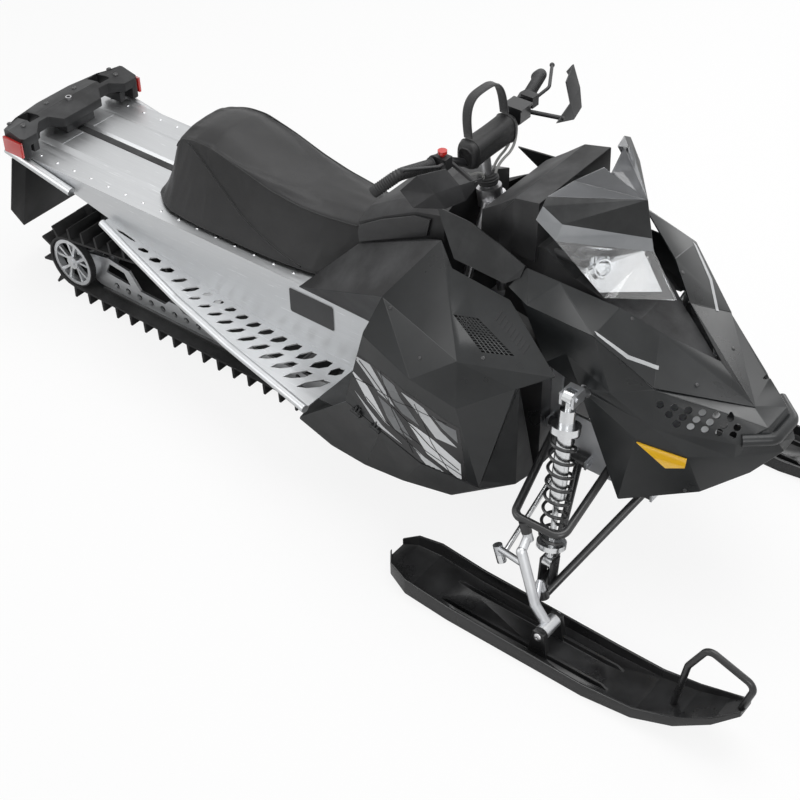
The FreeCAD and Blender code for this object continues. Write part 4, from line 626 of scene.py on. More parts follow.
# %% Shield and lens
def clear_cover(name, tint, roughness, transmission):
    """See-through moulding of one tint."""
    material, tree, shader, place = start_finish(name, Transmission_Weight=transmission, IOR=1.45,
                                                 Coat_Weight=0.5, Coat_Roughness=0.03)
    grain = use_group(tree, GRAIN, place, {"Scale": 240.0})
    colour = blend_colour(tree, grain, "Patch", tint, tuple(min(1.0, 1.3 * v) for v in tint))
    set_surface(tree, shader, colour, grain, "Patch", (roughness, roughness * 1.8))
    return material


FINISH["smoke"] = clear_cover("smoke", (0.16, 0.165, 0.175), 0.06, 0.45)
FINISH["clear"] = clear_cover("clear", (0.94, 0.95, 0.96), 0.01, 0.95)
print("clear covers: smoke, clear")

# %% [markdown]
# ## Vinyl and webbing
# Seat vinyl has a pebbled grain, with slow creases here and there. Webbing is a flat weave: its threads are
# two waves in different directions, multiplied.

# %% Seat cover and strap
def vinyl(name, dark, light, roughness):
    """Pebbled hide grain with slow creases under it."""
    material, tree, shader, place = start_finish(name, Sheen_Weight=0.03, Sheen_Roughness=0.4,
                                                 Specular_IOR_Level=0.38)
    cells = use_group(tree, CELLS, place, {"Scale": 520.0})
    base = blend_colour(tree, cells, "Crease", dark, light)
    colour = dusted(tree, place, base, 0.04, (0.34, 0.34, 0.35))
    set_surface(tree, shader, colour, cells, "Crease", roughness)
    add_bump(tree, shader, cells, "Height", 0.00012)
    add_bump(tree, shader, cells, "Crease", 0.0006, 0.5)
    return material


def webbing(name, dark, light):
    """Flat weave: the product of two waves."""
    material, tree, shader, place = start_finish(name, Roughness=0.8, Sheen_Weight=0.3)
    waves = []
    for direction, scale in (("X", 190.0), ("DIAGONAL", 240.0)):
        waves.append(node(tree, "TexWave", {"Scale": scale, "Distortion": 0.3}, {"Vector": (place, "Object")},
                          bands_direction=direction))
    weave = node(tree, "Math", links={0: (waves[0], "Fac"), 1: (waves[1], "Fac")}, operation="MULTIPLY")
    colour = blend_colour(tree, weave, "Value", dark, light)
    tree.links.new(colour.outputs[MIX_RESULT], shader.inputs["Base Color"])
    add_bump(tree, shader, weave, "Value", 0.0004)
    return material


FINISH["vinyl"] = vinyl("vinyl", (0.008, 0.008, 0.0085), (0.014, 0.014, 0.0145), (0.40, 0.52))
FINISH["webbing"] = webbing("webbing", (0.008, 0.008, 0.009), (0.03, 0.03, 0.032))
print("fabrics: vinyl, webbing")

# %% [markdown]
# ## Dress the CAD nodes
# Each node's record names its material slot, so one loop gives every CAD node its finish. New pieces are
# dressed by one function, which also sets which body a piece moves with and hides the CAD node it stands for.

# %% Paint every CAD node
SLOT_OF = {row["node"]: row["material_slot"] for row in frame["record"]["subparts"]}


def paint(piece, finish):
    """Give a piece or CAD node one material."""
    piece.data.materials.clear()
    piece.data.materials.append(FINISH[finish])


def dress(piece, finish, body="chassis", stands_for=None):
    """Give a new piece its material and its body, and hide the CAD node it stands for."""
    paint(piece, finish)
    if stands_for:
        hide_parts(stands_for)
    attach(piece, body)
    return piece


for name, piece in NODES.items():
    paint(piece, SLOT_OF[name])
paint(NODES["master_cylinder"], "black_metal")
for cable in CABLES:
    paint(cable, "cable_grey")
print("painted", len(NODES), "nodes with", len(set(SLOT_OF.values())), "finishes")

# %% [markdown]
# ## Moulded edges
# The CAD panels meet in knife edges. A real moulding has a radius of a millimetre or two there, and that
# thin line is what catches the light. Each panel's mesh is copied, its loose triangles are joined, and a
# Bevel modifier rounds only the edges that are long and clearly bent, so small holes stay as they are.

# %% Rounded copies of CAD nodes
WELD, FLAT = 0.00002, math.radians(0.5)      # what counts as one point, and as one plane
BENT, CRISP = math.radians(7.0), math.radians(28)


def rounded(node_name, width, body):
    """Piece with a CAD node's form and rounded edges; it stands for that node."""
    mesh = NODES[node_name].data.copy()
    shape = bmesh.new()
    shape.from_mesh(mesh)
    bmesh.ops.remove_doubles(shape, verts=shape.verts, dist=WELD)
    bmesh.ops.dissolve_limit(shape, angle_limit=FLAT, verts=shape.verts, edges=shape.edges)
    weight = shape.edges.layers.float.new("bevel_weight_edge")
    for edge in shape.edges:
        if len(edge.link_faces) == 2 and edge.calc_length() > 6 * width:
            room = min(face.calc_area() / edge.calc_length() for face in edge.link_faces)
            if edge.calc_face_angle() > BENT and room > 1.2 * width:
                edge[weight] = min(1.0, room / (3 * width))
    shape.to_mesh(mesh)
    shape.free()
    mesh.polygons.foreach_set("use_smooth", np.ones(len(mesh.polygons), bool))
    mesh.name = node_name + "_moulded"
    piece = add_object(node_name + "_moulded", mesh)
    bevel = piece.modifiers.new("edge_radius", "BEVEL")
    bevel.limit_method = "WEIGHT"
    bevel.width, bevel.segments = width, 2
    bevel.use_clamp_overlap = False
    bevel.harden_normals = True
    piece.modifiers.new("crisp", "EDGE_SPLIT").split_angle = CRISP
    return dress(piece, SLOT_OF[node_name], body, node_name)


EDGE_WIDTH = {
    "hood": 0.0022, "nose": 0.0020, "belly_pan": 0.0018, "side_panel_left": 0.0018,
    "side_panel_right": 0.0018, "cowl_plates": 0.0015, "cowl_face": 0.0012, "lamp_lenses": 0.0015,
    "windshield": 0.0012, "console": 0.0020, "knee_pads": 0.0025, "rear_bumper": 0.0035,
    "inner_cowl": 0.0030, "hand_guards": 0.0014, "ski_left": 0.0020, "ski_right": 0.0020,
    "tail_lamps": 0.0025, "reflectors": 0.0010, "snow_flap": 0.0015,
}
BODY_OF = {"side_panel_left": "left_door", "side_panel_right": "right_door", "hand_guards": "steering",
           "ski_left": "left_runner", "ski_right": "right_runner"}
for name, width in EDGE_WIDTH.items():
    rounded(name, width, BODY_OF.get(name, "chassis"))
print("moulded edges on", len(EDGE_WIDTH), "panels")

# %% [markdown]
# ## Seat
# A saddle like this is a foam block under a sewn vinyl cover: a crowned top panel, two side panels that
# slope down to the tunnel, and a welt where they meet. The form is a grid: one parameter runs from the tail
# to the tank, the other round the section.

# %% The saddle's form
SEAT_FOOT = low_high("seat")[0][2] + 0.0006
SEAT_ROWS, SEAT_SIDE = 110, 44
CREST = int(round(0.70 * (SEAT_SIDE - 1)))       # column of the top seam
# distance behind the ski pivots, half widths at foot and crest, heights of crest and crown over the foot
SEAT_PLAN = np.array([
    [1.702, 0.128, 0.070, 0.036, 0.050], [1.655, 0.164, 0.092, 0.130, 0.152],
    [1.612, 0.182, 0.108, 0.216, 0.242], [1.540, 0.190, 0.115, 0.236, 0.264],
    [1.470, 0.193, 0.119, 0.238, 0.270], [1.360, 0.192, 0.120, 0.212, 0.240],
    [1.250, 0.190, 0.118, 0.180, 0.206], [1.150, 0.184, 0.112, 0.164, 0.188],
    [1.060, 0.172, 0.104, 0.160, 0.184], [0.912, 0.126, 0.078, 0.160, 0.192],
])
# where the side seam crosses a section (0 at the foot, 1 at the crown), at three distances behind the pivots
SEAM_AT = np.array([[1.57, 0.66], [1.33, 0.28], [1.10, 0.04]])


def softened(values, passes):
    """Each row becomes a quarter of both neighbours and half of itself, some times over; the ends stay."""
    for _ in range(passes):
        values[1:-1] = 0.25 * values[:-2] + 0.5 * values[1:-1] + 0.25 * values[2:]
    return values


def seat_grid():
    """Sections from tail to tank: a slightly hollow skirt, a crest, and a crown over the middle."""
    back = np.linspace(SEAT_PLAN[0, 0], SEAT_PLAN[-1, 0], SEAT_ROWS)
    plan = [np.interp(-back, -SEAT_PLAN[:, 0], SEAT_PLAN[:, k]) for k in range(1, 5)]
    foot, crest, crest_z, crown_z = softened(np.stack(plan, axis=1), 4).T
    zero = np.zeros_like(foot)
    waist = 0.5 * (foot + crest) - 0.004
    y = np.stack([foot, foot * 0.99, waist, crest + 0.004, crest, crest * 0.5, zero], axis=1)
    z = np.stack([zero, zero + 0.010, 0.5 * crest_z, crest_z - 0.012, crest_z, crown_z - 0.004, crown_z],
                 axis=1)
    at = np.array([0.0, 0.06, 0.36, 0.66, 0.72, 0.88, 1.0])
    side = np.linspace(0, 1, SEAT_SIDE)
    half_y = np.stack([np.interp(side, at, row) for row in y])
    half_z = np.stack([np.interp(side, at, row) for row in z])
    section_y = softened(np.concatenate([half_y, -half_y[:, -2::-1]], axis=1).T.copy(), 3).T
    section_z = softened(np.concatenate([half_z, half_z[:, -2::-1]], axis=1).T.copy(), 3).T
    x = np.repeat((PIVOT_X - back)[:, None], section_y.shape[1], axis=1)
    return np.stack([x, section_y, SEAT_FOOT + section_z], axis=-1)


def seam_line(grid, sign):
    """Points of the side seam on the grid, where a slanted line on each section crosses it."""
    back = PIVOT_X - grid[:, 0, 0]
    rows = np.nonzero((back <= SEAM_AT[0, 0]) & (back >= SEAM_AT[-1, 0]))[0]
    place = np.interp(-back[rows], -SEAM_AT[:, 0], SEAM_AT[:, 1]) * (SEAT_SIDE - 1)
    low = np.floor(place).astype(int)
    share = (place - low)[:, None]
    column, after = low, low + 1
    if sign < 0:
        column, after = grid.shape[1] - 1 - low, grid.shape[1] - 2 - low
    return rows, column, grid[rows, column] * (1 - share) + grid[rows, after] * share


SEAT_GRID = seat_grid()
print("saddle grid:", SEAT_GRID.shape[:2], "points")

# %% [markdown]
# ## Covers as cloth
# The cloth step is shared by the saddle and the bar pad: pressure acts on the cover, pinned points hold it at
# the seams and ends, and no point may move further than a cap. The covers' faces are wound inwards, so the
# pressure draws a cover in between its seams. The result is written back into the mesh.

# %% Run a cover as cloth
COVER_FRAMES = 20
COVER_STIFFNESS = 25.0


def press_cover(piece, held, pressure, cap):
    """Run Blender's cloth on a closed cover; held are the indices of pinned points."""
    before = np.empty(len(piece.data.vertices) * 3)
    piece.data.vertices.foreach_get("co", before)
    group = piece.vertex_groups.new(name="held")
    group.add([int(i) for i in held], 1.0, "REPLACE")
    cloth = piece.modifiers.new("cover", "CLOTH")
    settings = cloth.settings
    settings.vertex_group_mass = "held"
    settings.quality = 6
    for kind in ("tension", "compression", "shear"):
        setattr(settings, kind + "_stiffness", COVER_STIFFNESS)
    settings.bending_stiffness = 0.6
    settings.use_pressure = True
    settings.uniform_pressure_force = pressure
    settings.effector_weights.gravity = 0.0
    cloth.point_cache.frame_start, cloth.point_cache.frame_end = 1, COVER_FRAMES
    scene = bpy.context.scene
    for number in range(1, COVER_FRAMES + 1):
        scene.frame_set(number)
    pressed = piece.evaluated_get(bpy.context.evaluated_depsgraph_get()).data
    after = np.empty_like(before)
    pressed.vertices.foreach_get("co", after)
    scene.frame_set(1)
    piece.modifiers.remove(cloth)
    piece.vertex_groups.remove(group)
    step = (after - before).reshape(-1, 3)
    length = np.maximum(np.linalg.norm(step, axis=1), 1e-9)
    step *= np.minimum(1.0, cap / length)[:, None]
    piece.data.vertices.foreach_set("co", before + step.reshape(-1))
    piece.data.update()
    print(piece.name, "moved up to", round(float(length.max()) * 1000, 1), "mm, capped at", cap * 1000)
    smooth = piece.modifiers.new("fine", "SUBSURF")
    smooth.levels = smooth.render_levels = 1


def add_seat():
    """The saddle: the grid, closed by a floor and two ends, and pressed as cloth between its seams."""
    rows, columns = SEAT_GRID.shape[:2]
    index = np.arange(rows * columns).reshape(rows, columns)
    left, right = index[:, 0], index[:, -1]
    faces = grid_faces(rows, columns)[:, ::-1].tolist()
    faces += np.stack([left[1:], right[1:], right[:-1], left[:-1]], axis=1).tolist()
    faces += [index[0].tolist(), index[-1, ::-1].tolist()]
    piece = mesh_piece("saddle", SEAT_GRID.reshape(-1, 3), faces)
    held = [index[:, :3], index[:, -3:], index[:2], index[-2:]]
    held += [index[:, CREST], index[:, columns - 1 - CREST]]
    for side, sign in SIDES:
        seam_rows, seam_columns = seam_line(SEAT_GRID, sign)[:2]
        held.append(index[seam_rows, seam_columns])
    press_cover(piece, np.unique(np.concatenate([part.ravel() for part in held])), 3.0, 0.007)
    dress(piece, "vinyl", "chassis", "seat")
    return piece


saddle = add_seat()
print("saddle:", len(saddle.data.polygons), "faces")

# %% [markdown]
# ## Welts and stitches
# The welt is a thin tube sewn into the seam. Beside it runs a row of stitches: each is a short bar with
# tapered ends, laid along the seam at an even pitch. Path points come from the same grid as the cover.

# %% Welts and stitches
STITCH_PITCH, STITCH_LENGTH, STITCH_R = 0.0075, 0.0050, 0.0006


def resampled(path, pitch):
    """Points at an even pitch along a broken line, and the direction there."""
    path = np.asarray(path, float)
    run = np.concatenate([[0], np.cumsum(np.linalg.norm(np.diff(path, axis=0), axis=1))])
    at = np.arange(pitch / 2, run[-1], pitch)
    points = np.stack([np.interp(at, run, path[:, k]) for k in range(3)], axis=1)
    ahead = np.stack([np.interp(at + pitch / 4, run, path[:, k]) for k in range(3)], axis=1) - points
    return points, ahead / np.maximum(np.linalg.norm(ahead, axis=1), 1e-9)[:, None]


def stitch_row(name, path, body="chassis"):
    """Many short bars along a path, as one mesh; a bar's section is a square turned on its corner."""
    points, ahead = resampled(path, STITCH_PITCH)
    side = np.cross(ahead, (0.0, 0.0, 1.0))
    side /= np.maximum(np.linalg.norm(side, axis=1), 1e-9)[:, None]
    up = np.cross(side, ahead)
    ring = np.array([(1, 0), (0, 1), (-1, 0), (0, -1)], float) * STITCH_R
    stations = np.array([(-0.5, 0.35), (-0.3, 1.0), (0.3, 1.0), (0.5, 0.35)])
    local = np.array([(s * STITCH_LENGTH, a * w, b * w) for s, w in stations for a, b in ring])
    axes = np.stack([ahead, side, up], axis=1)
    all_points = (points[:, None, :] + local @ axes).reshape(-1, 3)
    one = np.concatenate([grid_faces(4, 4, wrap_columns=True), [[3, 2, 1, 0], [12, 13, 14, 15]]])
    faces = (one[None, :, :] + (np.arange(len(points)) * len(local))[:, None, None]).reshape(-1, 4)
    return dress(mesh_piece(name, all_points, faces[:, ::-1]), "thread", body)


def piping(name, path, radius, body="chassis", side=(0.0, 0.0, 1.0)):
    """Thin round tube sewn into a seam."""
    return dress(tube(name, path, radius, side), "vinyl", body)


for side, sign in SIDES:
    line = softened(seam_line(SEAT_GRID, sign)[2].copy(), 6)
    outward = np.array([0.0, sign, 0.5]) * 0.0010
    piping("saddle_welt_" + side, line + outward, 0.0024)
    stitch_row("saddle_stitches_" + side, line + outward * 1.6 + (0, 0, 0.007))
    column = CREST if sign > 0 else SEAT_GRID.shape[1] - 1 - CREST
    edge = softened(SEAT_GRID[10:-6, column].copy(), 6)
    piping("saddle_edge_" + side, edge + outward, 0.0022)
    stitch_row("saddle_edge_stitches_" + side, edge + (0, -sign * 0.008, 0.0045))
print("welts of", round(float(np.ptp(SEAT_GRID[:, 0, 0])), 3), "m")

# %% [markdown]
# ## Bar pad
# The pad over the bar's middle is foam in a vinyl sleeve, so it is made like the saddle, with a welt near
# each end.

# %% Pad
PAD_LOW, PAD_HIGH = low_high("bar_pad")
PAD_ROUND, PAD_END = 0.20, 0.58     # share of the half length that is rounded, and size at the end
PAD_WAIST = 0.07
PAD_SEAM_ROWS = (6, 49)


def pad_form(rows=56, columns=48):
    """Sleeve round the bar: a superellipse section that shrinks towards both ends by a quarter circle."""
    v = np.linspace(-1, 1, rows)[:, None]
    past = np.clip((np.abs(v) - (1 - PAD_ROUND)) / PAD_ROUND, 0, 1)
    size = (np.sqrt(1 - past ** 2) * (1 - PAD_END) + PAD_END) * (1 - PAD_WAIST * (1 - v ** 2))
    angle = np.linspace(0, 2 * math.pi, columns, endpoint=False)[None, :]
    squared = (np.abs(np.cos(angle)) ** 3 + np.abs(np.sin(angle)) ** 3) ** (-1 / 3)
    half = (PAD_HIGH - PAD_LOW) / 2 - 0.004
    middle = (PAD_HIGH + PAD_LOW) / 2
    x = middle[0] + half[0] * squared * np.cos(angle) * size
    y = middle[1] + (half[1] + 0.002) * v + 0 * angle
    z = middle[2] + half[2] * squared * np.sin(angle) * size
    return np.stack([x, y, z], axis=-1)


def add_pad():
    """The pad's cover, and a welt at each of its seams."""
    grid = pad_form()
    piece = lofted("bar_sleeve", grid, turned=False)
    index = np.arange(grid.shape[0] * grid.shape[1]).reshape(grid.shape[:2])
    held = np.concatenate([index[row] for row in (0, -1, *PAD_SEAM_ROWS)])
    press_cover(piece, held, 4.0, 0.005)
    for side, row in zip(("right", "left"), PAD_SEAM_ROWS):
        loop = np.concatenate([grid[row], grid[row][:2]])
        piping("pad_welt_" + side, loop, 0.0016, "steering", (0.0, 1.0, 0.0))
    dress(piece, "vinyl", "steering", "bar_pad")


add_pad()
print("pad:", [round(float(v) * 1000) for v in PAD_HIGH - PAD_LOW], "mm")

# %% [markdown]
# ## Grab strap
# The strap is webbing round a rubber core: a flat band with rounded edges, carried along the hoop that the
# CAD gives, with a row of stitches along each edge.

# %% Strap
STRAP_LOW, STRAP_HIGH = low_high("grab_strap")
BAND_WIDTH, BAND_THICK = 0.027, 0.0062
BAND_MARGIN = 0.014                 # from the box's front and back faces to the band's line
HOOP_POWER = 0.62                   # below one, it squares the hoop's shoulders
STITCH_OFF, STITCH_OUT = 0.0095, 0.0033


def hoop_path(count=64):
    """Line of the hoop: straight legs that lean a little, joined over the top by a superellipse."""
    angle = np.linspace(0, math.pi, count)
    half = (STRAP_HIGH[1] - STRAP_LOW[1]) / 2 - 0.004
    rise = STRAP_HIGH[2] - STRAP_LOW[2] - 0.004
    y = half * np.sign(np.cos(angle)) * np.abs(np.cos(angle)) ** HOOP_POWER
    z = STRAP_LOW[2] + rise * np.abs(np.sin(angle)) ** HOOP_POWER
    lean = STRAP_HIGH[0] - STRAP_LOW[0] - 2 * BAND_MARGIN
    x = STRAP_HIGH[0] - BAND_MARGIN - lean * (z - STRAP_LOW[2]) / rise
    return np.stack([x, y, z], axis=1)


def band_section(width, thick, count=20):
    """Flat rounded bar: a superellipse of order four."""
    round_points = circle(1.0, count)
    reach = (round_points ** 4).sum(axis=1) ** (-1 / 4)
    return round_points * reach[:, None] * (width / 2, thick / 2)


def closed_band(name, path, section, side, finish, body="chassis", stands_for=None):
    """Piece of one section along a path."""
    return dress(lofted(name, along_path(path, section, side)), finish, body, stands_for)


strap_line = hoop_path()
band = band_section(BAND_WIDTH, BAND_THICK)[:, ::-1]
closed_band("grab_band", strap_line, band, (1.0, 0.0, 0.0), "webbing", "steering", "grab_strap")
normal = np.cross(np.gradient(strap_line, axis=0), (1.0, 0.0, 0.0))
normal /= np.linalg.norm(normal, axis=1)[:, None]
sign = np.sign((normal * (strap_line - strap_line.mean(axis=0))).sum(axis=1).mean())
outside = (strap_line + normal * STITCH_OUT * sign)[3:-3]
for edge, offset in (("front", STITCH_OFF), ("rear", -STITCH_OFF)):
    stitch_row("strap_stitches_" + edge, outside + (offset, 0, 0), "steering")
print("strap:", round(float(np.linalg.norm(np.diff(strap_line, axis=0), axis=1).sum()), 3), "m of band")

# %% [markdown]
# ## Grips
# A grip is a rubber sleeve with rings moulded round it, and a flange at its inner end. It is a round
# profile carried along the bar's own line, with a radius that rises and falls along the way.

# %% Grips with moulded rings
BAR_HALF = 0.350
GRIP_R, GRIP_STEP = 0.0165, 0.0009
RING_HEIGHT, RING_PITCH = 0.0007, 0.0065
# how far in from each end of the grip the rings begin, and the flange's height and place
RINGS_FROM, FLANGE_HEIGHT, FLANGE_AT = (0.014, 0.016), 0.0045, 0.004


def rounded_corner(path, radius, steps=10):
    """Broken line with each inner corner replaced by an arc of that radius."""
    path = np.asarray(path, float)
    line = [path[0]]
    for before, corner, after in zip(path[:-2], path[1:-1], path[2:]):
        a, b = before - corner, after - corner
        a, b = a / np.linalg.norm(a), b / np.linalg.norm(b)
        half = math.acos(float(np.clip(a @ b, -1, 1))) / 2
        middle = corner + (a + b) / np.linalg.norm(a + b) * radius / math.sin(half)
        start, end = corner + a * radius / math.tan(half), corner + b * radius / math.tan(half)
        for share in np.linspace(0, 1, steps):
            way = start + (end - start) * share - middle
            line.append(middle + way / np.linalg.norm(way) * radius)
    return np.array(line + [path[-1]])


def grip_line(side):
    """Points at an even pitch along the outer part of the bar."""
    rise = np.array([0.0, BAR_HALF - 0.190, 0.054])
    bend = np.array([-0.036, BAR_HALF - 0.044, 0.074])
    end = np.array([-0.0845, BAR_HALF + 0.0045, 0.0255])
    first = rise + (bend - rise) * 0.305
    points = np.array([first, bend, end]) * (1, side, 1) + POST_HEAD
    return resampled(rounded_corner(points, 0.030), GRIP_STEP)[0]


def add_grip(name, side):
    """One grip: rings between a flange at its inner end and a rounded outer end."""
    path = grip_line(side)
    run = np.arange(len(path)) * GRIP_STEP
    wave = RING_HEIGHT * np.clip(np.sin(run * 2 * math.pi / RING_PITCH) * 2.2, -1, 1)
    rings = np.where((run > RINGS_FROM[0]) & (run < run[-1] - RINGS_FROM[1]), wave, 0.0)
    flange = FLANGE_HEIGHT * np.exp(-((run - FLANGE_AT) / 0.0022) ** 4)
    past = np.clip((run - (run[-1] - 0.006)) / 0.0062, 0, 1)
    radius = (GRIP_R - 0.0012 + rings + flange) * np.sqrt(1 - past ** 2)
    unit = along_path(path, circle(1.0, 24)) - path[:, None, :]
    return dress(lofted(name, path[:, None, :] + unit * radius[:, None, None]), "soft_rubber", "steering")


grips = [add_grip("ringed_grip_left", 1), add_grip("ringed_grip_right", -1)]
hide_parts("grips")
print("grips:", len(grips))

# %% [markdown]
# ## Artwork on the side panels
# The panels carry a printed film: angular shards in silver, grey and black beside the vent window, with a few
# thin black lines over them. It is laid on as thin pieces, 0.4 to 1.3 mm proud of the panel. Each shard is a
# flat polygon in X and Z, cut into small triangles, and every point of it is then dropped sideways onto the
# panel, so the film follows the facets.

# %% Print film
FILM_PROUD, FILM_STEP = 0.0006, 0.007
INSET_RIM = [(0.0, 0.0), (0.35, 0.0), (0.83, 0.0), (1.0, 0.0), (1.0, 1.0), (0.40, 1.0), (0.0, 1.0)]
# upper and lower edge of the inset, as metres behind the ski pivots and above the ground
INSET_TOP = np.array([(0.722, 0.572), (0.580, 0.552), (0.362, 0.490)])
INSET_FOOT = np.array([(0.745, 0.452), (0.631, 0.378), (0.415, 0.268), (0.352, 0.244)])
# shards as (finish, corners); a corner is a share of the way forward and a share of the way up the inset
SHARDS = [
    ("film_silver", [(0.02, 0.94), (0.20, 0.97), (0.46, 0.62), (0.30, 0.60)]),
    ("film_pale", [(0.04, 0.56), (0.20, 0.52), (0.42, 0.20), (0.22, 0.25)]),
    ("film_grey", [(0.27, 0.96), (0.44, 0.95), (0.66, 0.60), (0.52, 0.60)]),
    ("film_silver", [(0.51, 0.95), (0.70, 0.94), (0.96, 0.66), (0.80, 0.62)]),
    ("film_grey", [(0.30, 0.54), (0.45, 0.56), (0.60, 0.26), (0.46, 0.22)]),
    ("film_pale", [(0.56, 0.52), (0.78, 0.56), (0.97, 0.42), (0.96, 0.14), (0.72, 0.24)]),
    ("film_silver", [(0.10, 0.18), (0.30, 0.12), (0.52, 0.06), (0.30, 0.03)]),
    ("film_grey", [(0.77, 0.92), (0.97, 0.93), (0.97, 0.74)]),
    ("film_silver", [(0.60, 0.17), (0.80, 0.13), (0.96, 0.03), (0.70, 0.03)]),
]
# thin lines across the shards: both end points in the same shares, and a width in metres
FILM_LINES = [
    ((0.10, 0.90), (0.95, 0.30), 0.0036), ((0.05, 0.40), (0.90, 0.95), 0.0024),
    ((0.30, 0.98), (0.60, 0.05), 0.0028), ((0.62, 0.90), (0.90, 0.10), 0.0024),
    ((0.50, 0.30), (0.97, 0.24), 0.0030), ((0.20, 0.30), (0.66, 0.14), 0.0024),
]
GROUND_LAYER, SHARD_LAYER, LINE_LAYER = 0.6, 1.3, 2.2       # heights over the panel, times FILM_PROUD
print("shards:", len(SHARDS), "lines:", len(FILM_LINES))

# %% [markdown]
# ### From flat shapes to films
# The shapes are written as shares of the inset. They are turned into metres, cut fine and dropped.

# %% Drop a film onto a panel
ABOVE, BESIDE = 1.4, 0.9            # where rays start, over the machine and beside it
REACH_DOWN, REACH_ACROSS = 1.3, 0.75


def edge_point(edge, share):
    """Point at a share of a broken line's extent along X."""
    at = edge[0, 0] + (edge[-1, 0] - edge[0, 0]) * share
    return np.array([at, np.interp(-at, -edge[:, 0], edge[:, 1])])


def inset_point(corner):
    """Corner in shares of the inset, as distance behind the pivots and height."""
    forward, up = corner
    return edge_point(INSET_FOOT, forward) * (1 - up) + edge_point(INSET_TOP, forward) * up


def tree_of(*names):
    """BVH of CAD nodes, for dropping points onto them."""
    points, faces = [], []
    for name in names:
        mesh = NODES[name].data
        start = len(points)
        points += [tuple(vertex.co) for vertex in mesh.vertices]
        faces += [[start + i for i in polygon.vertices] for polygon in mesh.polygons]
    return BVHTree.FromPolygons(points, faces)


def fine_polygon(corners, step):
    """Flat polygon cut into small triangles: points (n, 2) and faces."""
    shape = bmesh.new()
    ring = [shape.verts.new((x, z, 0.0)) for x, z in corners]
    bmesh.ops.triangulate(shape, faces=[shape.faces.new(ring)])
    for _ in range(8):
        long = [edge for edge in shape.edges if edge.calc_length() > step]
        if not long:
            break
        bmesh.ops.subdivide_edges(shape, edges=long, cuts=1)
        bmesh.ops.triangulate(shape, faces=[face for face in shape.faces if len(face.verts) > 3])
    shape.verts.index_update()
    points = np.array([vertex.co[:2] for vertex in shape.verts])
    faces = [[vertex.index for vertex in face.verts] for face in shape.faces]
    shape.free()
    return points, faces


def drop_film(tree, corners, sign, proud, step=FILM_STEP, down=False):
    """Flat polygon dropped onto a panel: sideways from (back, height), or down from (back, off the middle).

    Back is the distance behind the ski pivots. Triangles with a corner that misses the panel are left out.
    """
    points, faces = fine_polygon(corners, step)
    way, reach = ((0, 0, -1), REACH_DOWN) if down else ((0, -sign, 0), REACH_ACROSS)
    places, hits = [], []
    for back, other in points:
        start = (PIVOT_X - back, sign * other, ABOVE) if down else (PIVOT_X - back, sign * BESIDE, other)
        hit, normal, index, distance = tree.ray_cast(Vector(start), Vector(way), reach)
        hits.append(hit is not None)
        places.append(start if hit is None else tuple(hit + normal * proud))
    kept = [face for face in faces if all(hits[i] for i in face)]
    if kept:
        a, b, c = (np.array(places[i]) for i in kept[0])
        facing = np.cross(b - a, c - a)
        if (facing[2] if down else facing[1] * sign) < 0:
            kept = [face[::-1] for face in kept]
    return places, kept


def film_piece(name, finish, parts, body="chassis"):
    """One piece from several dropped films."""
    points, faces = [], []
    for places, part_faces in parts:
        faces += [[len(points) + i for i in face] for face in part_faces]
        points += places
    used, renumbered = np.unique(np.array(faces), return_inverse=True)
    return dress(mesh_piece(name, np.array(points)[used], renumbered.reshape(-1, 3)), finish, body)


print("film tools ready")

# %% [markdown]
# ### The panels' films
# The shapes of one finish are gathered into one piece, so each panel carries four films.

# %% Lay the films
def add_film(side, sign):
    """The inset's ground, shards and lines on one panel, as one piece for each finish."""
    tree = tree_of("side_panel_" + side)
    layers = [("film_black", [inset_point(corner) for corner in INSET_RIM], GROUND_LAYER)]
    for finish, corners in SHARDS:
        layers.append((finish, [inset_point(corner) for corner in corners], SHARD_LAYER))
    for first, last, width in FILM_LINES:
        start, end = inset_point(first), inset_point(last)
        across = np.array([start[1] - end[1], end[0] - start[0]]) / np.linalg.norm(end - start) * width / 2
        corners = [start + across, end + across, end - across, start - across]
        layers.append(("film_black", corners, LINE_LAYER))
    made = {}
    for finish, corners, height in layers:
        made.setdefault(finish, []).append(drop_film(tree, corners, sign, FILM_PROUD * height))
    for finish, parts in made.items():
        film_piece(finish + "_" + side, finish, parts, side + "_door")
    return sum(len(faces) for parts in made.values() for places, faces in parts)


print("film triangles:", [add_film(side, sign) for side, sign in SIDES])

# %% [markdown]
# ## Tunnel trim
# A black rubber strip lies in the channel along the middle of the tunnel, behind the saddle. Rows of blind
# rivets hold the folded side sheets to the top. A rivet's head is a low dome with a small dimple.

# %% Strip and rivets
TUNNEL_LOW, TUNNEL_HIGH = low_high("tunnel")
TUNNEL_TREE = tree_of("tunnel")
STRIP_ENDS = (2.185, 1.700)      # behind the ski pivots
STRIP_SIZE, STRIP_RAISED = (0.026, 0.003), 0.0016
RIVET_PITCH, RIVET_IN = 0.075, 0.030
# a head's outline: shares of its radius and of its height, from under the surface to the dimple
DOME = np.array([(1.0, -0.3), (1.0, 0.25), (0.86, 0.72), (0.5, 0.96), (0.22, 1.0), (0.16, 0.80)])


